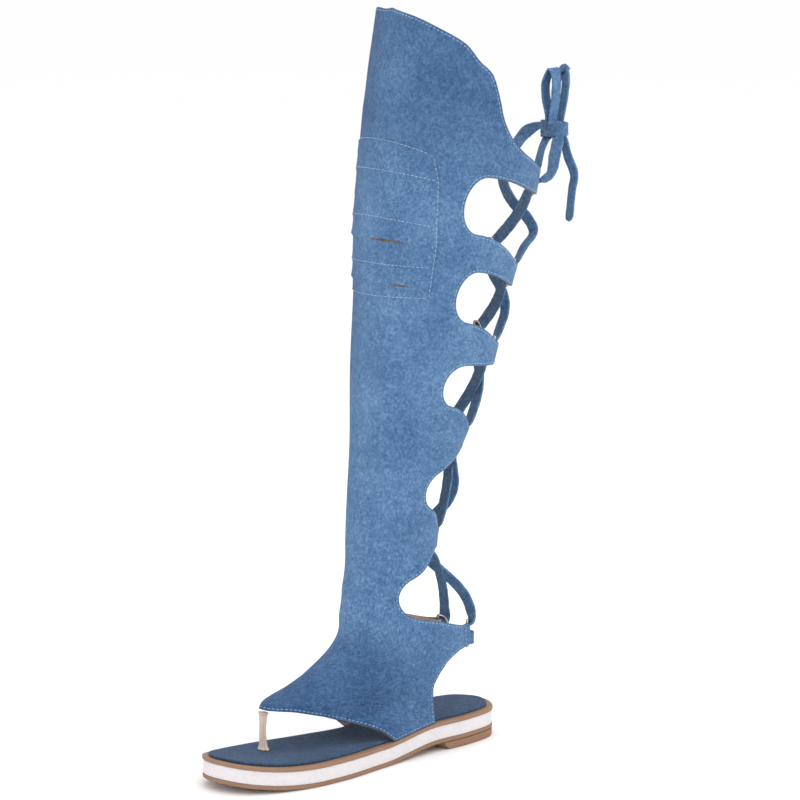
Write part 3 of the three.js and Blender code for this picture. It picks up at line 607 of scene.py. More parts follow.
def strip_grid(side, low_edge, high_edge, rows, opening=None, heel=False):
    """Turns and heights of one strip, and the last column that holds cloth."""
    tip = tip_turn[side]
    share = np.linspace(0, 1, COLUMNS + 1)
    low, high = height_on(low_edge, share, side), height_on(high_edge, share, side)
    if opening:
        arc = np.linspace(-math.pi / 2, math.pi / 2, rows + 1)
        part = (1 + np.sin(arc))[:, None] / 2 * np.ones(COLUMNS + 1)
        end_turn = opening["turn"] + opening["nose"]
    else:
        part = even_parts(low, high, share, side, rows)
        end_turn = HEEL_NOSE_END
    grid = np.ones((rows + 1, 1)) * share
    last = COLUMNS
    if opening or heel:
        last = round(COLUMNS * end_turn / float(tip((low[-1] + high[-1]) / 2)))
        edge = np.full(rows + 1, share[last])
        for _ in range(20):
            height = mix(height_on(low_edge, edge, side), height_on(high_edge, edge, side), part[:, last])
            if opening:
                turn = mix(opening["turn"], share[last] * tip(height), 1 - np.cos(arc))
            else:
                turn = heel_back_turn(height, side)
            edge = np.minimum(turn / tip(height), share[last])
        start = last // 4
        ease = smoothstep(np.arange(COLUMNS + 1), start, last)
        ease[last + 1 :] = 0
        grid = grid - (share[last] - edge)[:, None] * ease
    low, high = height_on(low_edge, grid, side), height_on(high_edge, grid, side)
    height = mix(low, high, part)
    return SIGN[side] * grid * tip(height), height, last


def side_grid(side):
    """All strips of one side on one grid, with the number of columns of cloth in each row of faces."""
    lows = [low_line, heel_line]
    for index in reversed(range(len(OPENINGS))):
        lows += [opening_line(index, upper=False), opening_line(index, upper=True)]
    lows.append(top_line)
    turns, heights, filled, starts = [], [], [], []
    cloth_rows = iter(CLOTH_ROWS)
    for k, (low_edge, high_edge) in enumerate(zip(lows, lows[1:])):
        opening = OPENINGS[len(OPENINGS) - k // 2] if k and k % 2 == 0 else None
        rows = opening["rows"] if opening else next(cloth_rows)
        turn, height, last = strip_grid(side, low_edge, high_edge, rows, opening, heel=k == 0)
        keep = rows if k < len(lows) - 2 else rows + 1
        starts.append(sum(map(len, turns)))
        turns.append(turn[:keep])
        heights.append(height[:keep])
        filled += [last] * rows
    return {"turn": np.concatenate(turns), "height": np.concatenate(heights), "filled": filled, "starts": starts}


sides = {side: side_grid(side) for side in SIGN}
TAB_STRIPS = [11, 9, 7, 5, 3, 1]  # the strip of each tab, from the top
FOLD = 0.010


def tip_distance(side):
    """Distance of each grid point from the end of its row."""
    grid = sides[side]
    points = leg_point(grid["turn"], grid["height"])[:, ::-1]
    steps = np.linalg.norm(np.diff(points, axis=1), axis=-1)
    return np.concatenate([np.zeros((len(points), 1)), np.cumsum(steps, axis=1)], axis=1)[:, ::-1]


def fold_swell(distance):
    """How far the folded end of a tab stands off: the doubled cloth and the ring's bar in it."""
    doubled = 0.0005 * (1 - smoothstep(distance, FOLD - 0.0012, FOLD + 0.0004))
    bar = 0.0010 * np.exp(-(((distance - TIP_PAST_BAR) / 0.0026) ** 2))
    tip = 0.0009 * (1 - smoothstep(distance, 0, 0.0022))
    return doubled + bar - tip


def upper_surfaces():
    """Outer and inner points of the whole upper on one grid, inner side first."""
    outer, inner, cloth, flat = [], [], [], []
    for side in (MEDIAL, LATERAL):
        grid = sides[side]
        turn, height = grid["turn"], grid["height"]
        face, normal = leg_point(turn, height), leg_normal(turn, height)
        distance = tip_distance(side)
        swell = fold_swell(distance)
        stand = crease_at(turn, height) * smoothstep(distance, 0.004, 0.020)
        stand *= smoothstep(height - welt_top(face[..., 0]), 0.001, 0.012)
        out = face + normal * (stand + swell)[..., None]
        back = face - normal * (WALL + swell - stand)[..., None]
        floor = np.minimum(face[..., 2], welt_top(back[..., 0]) + GAP)
        back[..., 2] = np.maximum(back[..., 2], floor)
        across = np.radians(turn) * leg["half"](height)
        front = lengths_along(leg_point(0, np.linspace(0.02, 0.54, 261)))
        up = np.interp(height, np.linspace(0.02, 0.54, 261), front)
        up = mix(height, up, np.clip(np.cos(np.radians(turn)), 0, 1))
        order = slice(None, None, -1) if side == MEDIAL else slice(1, None)
        outer.append(out[:, order])
        inner.append(back[:, order])
        flat.append(np.stack([across, up], -1)[:, order])
        rows = np.arange(COLUMNS)[None, :] < np.array(grid["filled"])[:, None]
        cloth.append(rows[:, ::-1] if side == MEDIAL else rows)
    return tuple(np.concatenate(part, axis=1) for part in (outer, inner, flat, cloth))


# ------------------------------------------------------------------ meshes


def select_only(obj):
    for other in bpy.context.view_layer.objects:
        other.select_set(False)
    obj.select_set(True)
    bpy.context.view_layer.objects.active = obj


def new_piece(name, points, faces, flat=None, kinds=None):
    """A mesh object from points and faces; flat gives the cloth's own coordinates of each point."""
    mesh = bpy.data.meshes.new(name)
    mesh.from_pydata([tuple(p) for p in points], [], [tuple(int(i) for i in f) for f in faces])
    if flat is not None:
        layer = mesh.uv_layers.new(name="cloth")
        corners = np.zeros(len(mesh.loops), np.int32)
        mesh.loops.foreach_get("vertex_index", corners)
        layer.data.foreach_set("uv", np.asarray(flat, np.float32)[corners].ravel())
    if kinds is not None:
        mesh.polygons.foreach_set("material_index", np.asarray(kinds, np.int32))
    mesh.update()
    obj = bpy.data.objects.new(name, mesh)
    bpy.context.scene.collection.objects.link(obj)
    return obj


def apply_modifier(obj, kind, **values):
    select_only(obj)
    modifier = obj.modifiers.new(kind.title(), kind)
    for key, value in values.items():
        setattr(modifier, key, value)
    bpy.ops.object.modifier_apply(modifier=modifier.name)


def smooth_shading(obj, angle=50):
    select_only(obj)
    bpy.ops.object.shade_smooth_by_angle(angle=math.radians(angle))


def outward_normals(obj):
    select_only(obj)
    bpy.ops.object.mode_set(mode="EDIT")
    bpy.ops.mesh.select_all(action="SELECT")
    bpy.ops.mesh.normals_make_consistent(inside=False)
    bpy.ops.object.mode_set(mode="OBJECT")


def finish_piece(obj, materials, replaces=()):
    for material in materials:
        obj.data.materials.append(material)
    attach(obj, "root")
    if replaces:
        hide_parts(*replaces)
    return obj


def join_pieces(parts, name):
    select_only(parts[0])
    for part in parts:
        part.select_set(True)
    bpy.ops.object.join()
    joined = bpy.context.view_layer.objects.active
    joined.name = joined.data.name = name
    return joined


def grid_faces(rows, columns, start=0, flip=False):
    faces = []
    for i in range(rows - 1):
        for j in range(columns - 1):
            a = start + i * columns + j
            quad = (a, a + 1, a + columns + 1, a + columns)
            faces.append(quad[::-1] if flip else quad)
    return faces


def loft(rings, closed=False):
    """Faces that join rings of the same size, with flat ends unless the loft is closed."""
    count, size = len(rings), len(rings[0])
    faces = []
    for i in range(count if closed else count - 1):
        here, after = i * size, (i + 1) % count * size
        faces += [(here + j, here + (j + 1) % size, after + (j + 1) % size, after + j) for j in range(size)]
    if not closed:
        faces.append(tuple(reversed(range(size))))
        faces.append(tuple(range((count - 1) * size, count * size)))
    return np.concatenate(rings), faces


# ------------------------------------------------------------------ materials


def new_material(name, roughness, metallic=0.0, level=0.5):
    material = bpy.data.materials.new(name)
    material.use_nodes = True
    tree = material.node_tree
    shader = next(n for n in tree.nodes if n.type == "BSDF_PRINCIPLED")
    shader.inputs["Roughness"].default_value = roughness
    shader.inputs["Metallic"].default_value = metallic
    shader.inputs["Specular IOR Level"].default_value = level
    return material, tree, shader


def node(tree, kind, inputs=(), **values):
    made = tree.nodes.new(kind)
    for key, value in values.items():
        setattr(made, key, value)
    for socket, value in dict(inputs).items():
        if isinstance(value, bpy.types.NodeSocket):
            tree.links.new(value, made.inputs[socket])
        else:
            made.inputs[socket].default_value = value
    return made


def ramp(tree, factor, stops):
    made = node(tree, "ShaderNodeValToRGB", {"Fac": factor})
    elements = made.color_ramp.elements
    while len(elements) < len(stops):
        elements.new(0.5)
    for element, (place, colour) in zip(elements, stops):
        element.position = place
        element.color = (*colour, 1)
    return made.outputs["Color"]


def math_node(tree, operation, a, b=0.0):
    made = node(tree, "ShaderNodeMath", operation=operation)
    for socket, value in zip(made.inputs, (a, b)):
        if isinstance(value, bpy.types.NodeSocket):
            tree.links.new(value, socket)
        else:
            socket.default_value = value
    return made.outputs[0]


def mix_colour(tree, factor, a, b, blend="MIX"):
    made = node(tree, "ShaderNodeMix", data_type="RGBA", blend_type=blend)
    for socket, value in ((made.inputs[0], factor), (made.inputs[6], a), (made.inputs[7], b)):
        if isinstance(value, bpy.types.NodeSocket):
            tree.links.new(value, socket)
        else:
            socket.default_value = value if isinstance(value, float) else (*value, 1)
    return made.outputs[2]


def bump(tree, shader, height, distance, strength=1.0):
    made = node(tree, "ShaderNodeBump", {"Height": height, "Distance": distance, "Strength": strength})
    tree.links.new(made.outputs["Normal"], shader.inputs["Normal"])


def object_noise(tree, scale, stretch=(1, 1, 1), detail=3.0, roughness=0.55):
    place = node(tree, "ShaderNodeTexCoord").outputs["Object"]
    place = node(tree, "ShaderNodeMapping", {"Vector": place, "Scale": stretch}).outputs["Vector"]
    look = {"Vector": place, "Scale": scale, "Detail": detail, "Roughness": roughness}
    return node(tree, "ShaderNodeTexNoise", look).outputs["Fac"]


def cloth_noise(tree, stretch, detail=2.0):
    """Noise on the cloth's own coordinates, with a size for each thread direction."""
    place = node(tree, "ShaderNodeUVMap", uv_map="cloth").outputs["UV"]
    place = node(tree, "ShaderNodeMapping", {"Vector": place, "Scale": (*stretch, 1)}).outputs["Vector"]
    look = {"Vector": place, "Scale": 1.0, "Detail": detail, "Roughness": 0.6}
    return node(tree, "ShaderNodeTexNoise", look).outputs["Fac"]


def cloth_wave(tree, turn, pitch, distortion):
    """Parallel threads a pitch apart, turned on the cloth."""
    place = node(tree, "ShaderNodeUVMap", uv_map="cloth").outputs["UV"]
    turned = {"Vector": place, "Rotation": (0, 0, math.radians(turn))}
    place = node(tree, "ShaderNodeMapping", turned).outputs["Vector"]
    wave = {"Vector": place, "Scale": math.pi / (10 * pitch), "Distortion": distortion, "Detail": 2.0}
    wave["Detail Scale"] = 3.0
    return node(tree, "ShaderNodeTexWave", wave, wave_type="BANDS", bands_direction="X").outputs["Fac"]


PAINTED_SHADE_TINT = (0.42, 0.51, 0.61)  # painted shade: what the most shaded denim keeps of the middle tone, red to blue


def painted_shade(tree):
    """Painted shade, 0 to 1: how much darker the cloth is drawn where less light falls, most on the vamp, then the
    top and the inner side.
    """
    place = node(tree, "ShaderNodeTexCoord").outputs["Object"]
    axes = node(tree, "ShaderNodeSeparateXYZ", {"Vector": place}).outputs

    def share(axis, start, end, low, high):
        ends = {"Value": axes[axis], "From Min": start, "From Max": end, "To Min": low, "To Max": high}
        return node(tree, "ShaderNodeMapRange", ends, interpolation_type="SMOOTHSTEP").outputs["Result"]

    vamp = math_node(tree, "MULTIPLY", share("Z", 0.050, 0.120, 1.0, 0.0), share("X", 0.045, 0.105, 0.30, 1.0))
    vamp_and_top = math_node(tree, "ADD", vamp, share("Z", 0.39, 0.47, 0.0, 0.52))
    return math_node(tree, "ADD", vamp_and_top, share("Y", -0.050, -0.006, 0.75, 0.0))


def denim_material(name, dark, middle, light, fade=1.0):
    """Washed denim: twill threads, slubs both ways, soft faded patches, and at full fade the painted shade on the
    vamp, the top and the inner side.
    """
    material, tree, shader = new_material(name, 0.92, level=0.25)
    shader.inputs["Sheen Weight"].default_value = 0.05
    shader.inputs["Sheen Roughness"].default_value = 0.6
    patches = object_noise(tree, 26, detail=3.0)
    mottle = object_noise(tree, 190, detail=3.0)
    grain = object_noise(tree, 520, detail=2.0)
    weft = cloth_noise(tree, (300, 1300))
    warp = cloth_noise(tree, (1400, 320))
    twill = cloth_wave(tree, 62, 0.0012, 1.6)
    slub = math_node(tree, "ADD", math_node(tree, "MULTIPLY", weft, 0.5), math_node(tree, "MULTIPLY", warp, 0.5))
    shares = ((slub, 0.42), (mottle, 0.17), (grain, 0.26), (patches, 0.18 * fade), (twill, 0.06))
    tone = 0.0
    for part, share in shares:
        tone = math_node(tree, "ADD", tone, math_node(tree, "MULTIPLY", part, share))
    half = 0.5 * sum(share for _, share in shares)
    colour = ramp(tree, tone, [(half - 0.13, dark), (half, middle), (half + 0.13, light)])
    # painted shade: at full fade the denim is darkened on the vamp, the top and the inner side, where less light
    # falls
    if fade == 1:
        colour = mix_colour(tree, painted_shade(tree), colour, PAINTED_SHADE_TINT, blend="MULTIPLY")
    tree.links.new(colour, shader.inputs["Base Color"])
    rise = math_node(tree, "ADD", math_node(tree, "MULTIPLY", twill, 0.35), slub)
    bump(tree, shader, math_node(tree, "ADD", rise, math_node(tree, "MULTIPLY", mottle, 1.2)), 0.00035, 0.55)
    return material


def grained_material(name, colour, roughness, spread, scale, depth, level=0.4):
    """A moulded or pressed surface with a fine grain and slightly uneven tone."""
    material, tree, shader = new_material(name, roughness, level=level)
    broad = object_noise(tree, scale / 12)
    fine = object_noise(tree, scale, detail=4.0)
    tone = math_node(tree, "ADD", math_node(tree, "MULTIPLY", broad, 0.5), math_node(tree, "MULTIPLY", fine, 0.5))
    darker = tuple(c * (1 - spread) for c in colour)
    lighter = tuple(min(1, c * (1 + spread)) for c in colour)
    shade = ramp(tree, tone, [(0.34, darker), (0.50, tuple(colour)), (0.66, lighter)])
    tree.links.new(shade, shader.inputs["Base Color"])
    ends = {"Value": fine, "To Min": roughness - 0.08, "To Max": min(1, roughness + 0.08)}
    rough = node(tree, "ShaderNodeMapRange", ends)
    tree.links.new(rough.outputs["Result"], shader.inputs["Roughness"])
    bump(tree, shader, fine, depth, 0.6)
    return material


def foam_material(name, colour):
    """White foam with fine closed cells and faint flecks."""
    material, tree, shader = new_material(name, 0.78, level=0.3)
    place = node(tree, "ShaderNodeTexCoord").outputs["Object"]
    cells = node(tree, "ShaderNodeTexVoronoi", {"Vector": place, "Scale": 900.0}).outputs["Distance"]
    flecks = object_noise(tree, 420, detail=4.0, roughness=0.7)
    cloud = object_noise(tree, 60)
    tone = math_node(tree, "ADD", math_node(tree, "MULTIPLY", flecks, 0.7), math_node(tree, "MULTIPLY", cloud, 0.3))
    darker = tuple(c * 0.86 for c in colour)
    lighter = tuple(min(1, c * 1.06) for c in colour)
    shade = ramp(tree, tone, [(0.32, darker), (0.47, tuple(colour)), (0.70, lighter)])
    tree.links.new(shade, shader.inputs["Base Color"])
    bump(tree, shader, math_node(tree, "ADD", cells, flecks), 0.00022, 0.5)
    return material


def metal_material(name, colour):
    material, tree, shader = new_material(name, 0.22, metallic=1.0)
    rub = object_noise(tree, 300, detail=4.0)
    darker = tuple(c * 0.80 for c in colour)
    tree.links.new(ramp(tree, rub, [(0.35, darker), (0.62, tuple(colour))]), shader.inputs["Base Color"])
    rough = node(tree, "ShaderNodeMapRange", {"Value": rub, "To Min": 0.14, "To Max": 0.34})
    tree.links.new(rough.outputs["Result"], shader.inputs["Roughness"])
    bump(tree, shader, rub, 0.00004, 0.4)
    return material


def thread_material(name, colour):
    """Spun thread: pale, with a twist along it."""
    material, tree, shader = new_material(name, 0.8, level=0.3)
    fibre = object_noise(tree, 700, detail=3.0)
    darker = tuple(c * 0.62 for c in colour)
    tree.links.new(ramp(tree, fibre, [(0.33, darker), (0.55, tuple(colour))]), shader.inputs["Base Color"])
    bump(tree, shader, fibre, 0.0001, 0.5)
    return material


materials = {}


def material_for(name):
    """The named finish, made once from the settings."""
    if name in materials:
        return materials[name]
    cloth = bpy.context.scene.sandal_cloth
    sole = bpy.context.scene.sandal_sole
    lace = bpy.context.scene.sandal_lace
    denims = tuple(cloth.denim_dark), tuple(cloth.denim), tuple(cloth.denim_light)
    footbed = tuple(cloth.footbed)
    footbed_denims = tuple(c * 0.58 for c in footbed), footbed, tuple(c * 1.85 for c in footbed)
    # painted shade: the lining darkened to a deep brown, for the shade inside the open folds under the tucks
    fold_shade = tuple(c * 0.30 for c in cloth.lining)
    makers = {
        "denim": lambda: denim_material("washed_denim", *denims),
        "strap_denim": lambda: denim_material("strap_denim", *denims, fade=0.6),
        "footbed_denim": lambda: denim_material("footbed_denim", *footbed_denims, fade=0.8),
        "lining": lambda: grained_material("tan_lining", tuple(cloth.lining), 0.88, 0.10, 900, 0.0001, level=0.25),
        "cut_edge": lambda: grained_material("cut_edge", tuple(cloth.cut_edge), 0.92, 0.35, 1400, 0.0002, level=0.2),
        "rubber": lambda: grained_material("tan_rubber", tuple(sole.rubber), 0.72, 0.10, 700, 0.0001),
        "welt": lambda: grained_material("tan_welt", tuple(sole.welt), 0.60, 0.09, 800, 0.00008),
        "foam": lambda: foam_material("white_foam", tuple(sole.foam)),
        "post": lambda: grained_material("nude_post", tuple(sole.post), 0.38, 0.06, 500, 0.00005, level=0.5),
        "metal": lambda: metal_material("ring_metal", tuple(lace.metal)),
        "thread": lambda: thread_material("pale_thread", tuple(cloth.thread)),
        "fold_painted_shade": lambda: grained_material("painted_fold_shade", fold_shade, 0.95, 0.4, 900, 0.0001, level=0.1),
    }
    materials[name] = makers[name]()
    return materials[name]


# ------------------------------------------------------------------ stage: camera, then floor and light


class SANDAL_OT_camera(bpy.types.Operator):
    """Places the camera"""

    bl_idname = "sandal.camera"
    bl_label = "Camera"

    def execute(self, context):
        stage = context.scene.sandal_stage
        level = math.cos(stage.elevation)
        back = Vector((math.sin(stage.azimuth) * level, -math.cos(stage.azimuth) * level, math.sin(stage.elevation)))
        right = Vector((0, 0, 1)).cross(back).normalized()
        up = back.cross(right)
        select_none()
        bpy.ops.object.camera_add()
        camera = context.object
        camera.name = "studio_camera"
        turn = Matrix((right, up, back)).transposed()
        camera.matrix_world = Matrix.Translation(Vector(stage.target) + back * stage.distance) @ turn.to_4x4()
        camera.data.lens = stage.lens
        camera.data.sensor_width = 36
        camera.data.clip_end = 50
        context.scene.camera = camera
        return {"FINISHED"}


class SANDAL_OT_stage(bpy.types.Operator):
    """Adds the pale floor and the soft light"""

    bl_idname = "sandal.stage"
    bl_label = "Floor and light"

    def execute(self, context):
        stage = context.scene.sandal_stage
        select_none()
        bpy.ops.mesh.primitive_plane_add(size=FLOOR_SIZE, location=(0, 0, -FLOOR_GAP))
        floor = context.object
        floor.name = "studio_floor"
        bpy.ops.object.transform_apply(location=True, rotation=True, scale=True)
        finish = grained_material("studio_floor", tuple(stage.floor), 0.9, 0.004, 6, 0.0, level=0.1)
        floor.data.materials.append(finish)
        lights = [  # name, place, size, power share, tint
            ("key", (1.0, 2.3, 2.1), 1.8, 1.0, (1.0, 0.99, 0.97)),
            ("fill", (2.4, -0.6, 1.3), 2.2, 0.45, (0.97, 0.985, 1.0)),
            ("rim", (-1.9, 1.2, 1.9), 1.6, 0.75, (1.0, 1.0, 1.0)),
            ("top", (0.1, 0.2, 2.8), 2.4, 0.75, (1.0, 1.0, 1.0)),
        ]
        for name, place, size, share, tint in lights:
            bpy.ops.object.light_add(type="AREA", location=place)
            light = context.object
            light.name = f"studio_{name}"
            light.rotation_euler = (Vector(LIGHT_AIM) - Vector(place)).to_track_quat("-Z", "Y").to_euler()
            light.data.shape = "DISK"
            light.data.size = size
            light.data.energy = stage.key_power * share
            light.data.color = tint
        world = context.scene.world or bpy.data.worlds.new("studio")
        context.scene.world = world
        world.use_nodes = True
        background = next(n for n in world.node_tree.nodes if n.type == "BACKGROUND")
        background.inputs["Color"].default_value = (1, 1, 1, 1)
        background.inputs["Strength"].default_value = 1.0
        context.scene.view_settings.view_transform = "Standard"
        return {"FINISHED"}


def select_none():
    for obj in bpy.context.view_layer.objects:
        obj.select_set(False)
    bpy.context.view_layer.objects.active = None


# ------------------------------------------------------------------ rings' places


def ring_seat(index, side):
    """The place of a tab's ring: bar, direction to the gap at the back, along the bar, and outward."""
    height = TABS[index][side]
    turn = SIGN[side] * turn_from_back(TABS[index]["bar"], height, side)
    normal = leg_normal(turn, height)
    inward = unit(leg_point(turn + 0.5, height) - leg_point(turn - 0.5, height)) * SIGN[side]
    up = unit(np.cross(normal, inward))
    if up[2] < 0:
        up = -up
    return {"middle": leg_point(turn, height) - normal * WALL / 2, "inward": inward, "up": up, "normal": normal}


def ring_place(index, side, inward, out, rise):
    seat = ring_seat(index, side)
    return seat["middle"] + seat["inward"] * inward + seat["normal"] * out + seat["up"] * rise


# ------------------------------------------------------------------ straps


def strap_section(thick):
    """The section of a flat strap 1 wide: its folded edges stand a little prouder than its middle."""
    deep = thick / 2
    side = [(0.30, 0.78 * deep), (0.40, deep), (0.45, 0.95 * deep), (0.485, 0.62 * deep), (0.5, 0.2 * deep)]
    right = side + [(x, -y) for x, y in reversed(side)]
    return np.array(right + [(-x, -y) for x, y in right])[::-1]


def strap_mesh(name, route, facings, width, thick, rounded=(False, False)):
    """A flat strap along a route, with the way its flat side looks at each route point."""
    line = np.concatenate([spline(route, 14), spline(unit(np.asarray(facings, float)), 14)], axis=1)
    length = lengths_along(line[:, :3])[-1]
    count = max(12, round(length / 0.0011))
    line = resample(line, np.linspace(0, length, count + 1))
    points, facing = line[:, :3], line[:, 3:]
    way = unit(np.gradient(points, axis=0))
    across = unit(np.cross(way, facing))
    out = np.cross(across, way)
    section = strap_section(thick / width)
    rings, flat = [], []
    for k, point in enumerate(points):
        run = length * k / count
        narrow = 1.0
        for is_round, left in zip(rounded, (run, length - run)):
            if is_round and left < width / 2:
                narrow = min(narrow, math.sqrt(max(0.02, 1 - (1 - 2 * left / width) ** 2)))
        wander = 1 + 0.020 * math.sin(run * 610 + route[0][0] * 900) + 0.012 * math.sin(run * 1490)
        half = section[:, :1] * width * narrow * wander
        rings.append(point + across[k] * half + out[k] * section[:, 1:] * width)
        flat += [(0.3 * hash_of(name) + float(h), run) for h in half[:, 0]]
    points_out, faces = loft(rings)
    obj = new_piece(name, points_out, faces, flat)
    smooth_shading(obj, 45)
    return obj, points


def hash_of(name):
    """A number from 0 to 1 that is the same for a name each time, to shift its pattern."""
    return sum(ord(letter) * (k + 3) for k, letter in enumerate(name)) % 97 / 97


# ------------------------------------------------------------------ bow


def cord_piece(name, route, facings, replaces, context, rounded=(False, False)):
    lace = context.scene.sandal_lace
    obj, path = strap_mesh(name, route, facings, lace.strap_width, lace.strap_thick, rounded)
    finish_piece(obj, [material_for("strap_denim")], replaces)
    return obj


def behind(route):
    return [back_point(*place) for place in route]


def loop_facings(route, turn):
    """The loop's strap stands with its width one way all round, turned from the bow's face."""
    turn = math.radians(turn)
    across = math.cos(turn) * BOW_FACE + math.sin(turn) * np.array([BOW_FACE[1], -BOW_FACE[0], 0])
    return unit(np.cross(across, unit(np.gradient(route, axis=0))))


class SANDAL_OT_bow(bpy.types.Operator):
    """Ties the bow: two leads that end in the tails, two loops and the knot"""

    bl_idname = "sandal.bow"
    bl_label = "Bow"

    def execute(self, context):
        out = back_out(KNOT[2])
        side = unit(np.array([out[1], -out[0], 0]) + 0.7 * np.array([-BOW_FACE[1], BOW_FACE[0], 0]))
        knot = self.knot(context, out, side)
        lateral_knot = [(0.0195, 0.0045, 0.4460)]  # where each lead runs through the knot
        medial_knot = [(0.019, 0.001, 0.4465), (0.021, 0.007, 0.4440)]
        lateral_nodes = ("lace_lead_lateral", "lace_end_medial")
        medial_nodes = ("lace_lead_medial", "lace_end_lateral")
        for name, ring_side, lead, rise, tail, through, replaced in (
            ("bow_lead_lateral", LATERAL, LEAD_LATERAL, -0.0010, END_MEDIAL, lateral_knot, lateral_nodes),
            ("bow_lead_medial", MEDIAL, LEAD_MEDIAL, 0.0085, END_LATERAL, medial_knot, medial_nodes),
        ):
            start = [
                ring_place(0, ring_side, STRAP_IN_RING, 0.0010, rise * LEAD_FIRST_RISE),
                ring_place(0, ring_side, 0.0070, 0.0034, rise),
            ]
            route = start + behind(lead + through + tail)
            normal = ring_seat(0, ring_side)["normal"]
            face = BOW_FACE if normal @ BOW_FACE > 0 else -BOW_FACE
            face = unit(mix(out, face, 0.6)) if ring_side == LATERAL else unit(0.5 * out + np.array([0, 0, 0.8]))
            facings = [normal, normal, mix(normal, face, 0.5)]
            facings += [face] * (len(lead) + len(through) - 2) + [out] * (len(tail) + 1)
            cord_piece(name, route, facings, replaced, context, rounded=(False, True))
        for name, loop, turn, replaced in (
            ("bow_loop_medial", LOOP_MEDIAL, 40, "lace_loop_medial"),
            ("bow_loop_lateral", LOOP_LATERAL, -30, "lace_loop_lateral"),
        ):
            first, last = ((x, y, z - LOOP_FOOT_DROP) for x, y, z in (loop[0], loop[-1]))
            route = np.array(behind([first, *loop, last]))
            facings = loop_facings(route, turn)
            cord_piece(name, route, facings, (replaced,), context)
        return {"FINISHED"}

    def knot(self, context, out, side):
        """The band wrapped round the bow's middle, and the bunched strap in it."""
        lace = context.scene.sandal_lace
        middle = back_point(*KNOT)
        wide, deep = KNOT_BAND
        route, facings = [], []
        for k in range(19):
            turn = math.radians(-150 + 22.5 * k)
            look = side * math.cos(turn) + out * math.sin(turn)
            climb = np.array([0, 0, KNOT_BAND_RISE * (k / 9 - 1)])
            route.append(middle + side * wide * math.cos(turn) + out * deep * math.sin(turn) + climb)
            facings.append(look)
        band, _ = strap_mesh("knot_band", route, facings, lace.strap_width * 1.05, lace.strap_thick)
        select_none()
        bpy.ops.mesh.primitive_uv_sphere_add(segments=28, ring_count=18, radius=1, location=(0, 0, 0))
        core = context.object
        core.name = "knot_core"
        half_wide, half_deep, half_high = KNOT_CORE
        for vertex in core.data.vertices:
            x, y, z = vertex.co
            turn = math.atan2(y, x)
            pinch = 1 + 0.10 * math.sin(3 * turn + 2.5 * z) + 0.06 * math.sin(5 * turn - 3 * z)
            place = middle + side * half_wide * x * pinch + out * half_deep * y * pinch
            place = place + np.array([0, 0, half_high * z * (1 + 0.08 * math.sin(2 * turn))])
            vertex.co = Vector(place)
        while core.data.uv_layers:
            core.data.uv_layers.remove(core.data.uv_layers[0])
        layer = core.data.uv_layers.new(name="cloth")
        for loop in core.data.loops:
            place = core.data.vertices[loop.vertex_index].co
            layer.data[loop.index].uv = (place.y, place.z)
        outward_normals(core)
        knot = join_pieces([band, core], "bow_knot")
        smooth_shading(knot, 60)
        return finish_piece(knot, [material_for("strap_denim")], ("lace_knot",))


# ------------------------------------------------------------------ sole


def layer_mesh(name, inset, bottom, top, rounding, dish=0.0):
    """A sole layer: its outline with rounded edges, closed by a gridded top and bottom."""
    across = 14
    steps = len(sole_outline(inset))
    half = steps // 2
    turns = np.radians([0, 22.5, 45, 67.5, 90])
    profile = [(rounding * (1 - math.sin(t)), bottom, rounding * (1 - math.cos(t))) for t in turns]
    profile += [(rounding * (1 - math.sin(t)), top, -rounding * (1 - math.cos(t))) for t in turns[::-1]]
    rings = []
    for pull, level, rise in profile:
        edge = sole_outline(inset + pull)
        rings.append(np.column_stack([edge, outsole_bottom(edge[:, 0]) + level + rise]))
    points, faces = loft(rings)
    faces = faces[:-2]
    points = list(points)
    for ring, is_top in ((0, False), (len(rings) - 1, True)):
        base = ring * steps
        rows = []
        for i in range(1, half):
            a, b = rings[ring][i], rings[ring][steps - i]
            row = [base + i]
            for k in range(1, across):
                t = k / across
                place = mix(a, b, t)
                place[2] = outsole_bottom(place[0]) + (top if is_top else bottom)
                if is_top:
                    place[2] -= dish * math.sin(math.pi * t) ** 2 * min(1, i / 12, (half - i) / 12)
                row.append(len(points))
                points.append(place)
            row.append(base + steps - i)
            rows.append(row)
        made = []
        for before, after in zip(rows, rows[1:]):
            made += [(before[k], after[k], after[k + 1], before[k + 1]) for k in range(across)]
        made += [(base, rows[0][k], rows[0][k + 1]) for k in range(across)]
        made += [(base + half, rows[-1][k + 1], rows[-1][k]) for k in range(across)]
        faces += made if is_top else [f[::-1] for f in made]
    obj = new_piece(name, points, faces, [(p[0], p[1]) for p in points])
    outward_normals(obj)
    smooth_shading(obj, 40)
    return obj


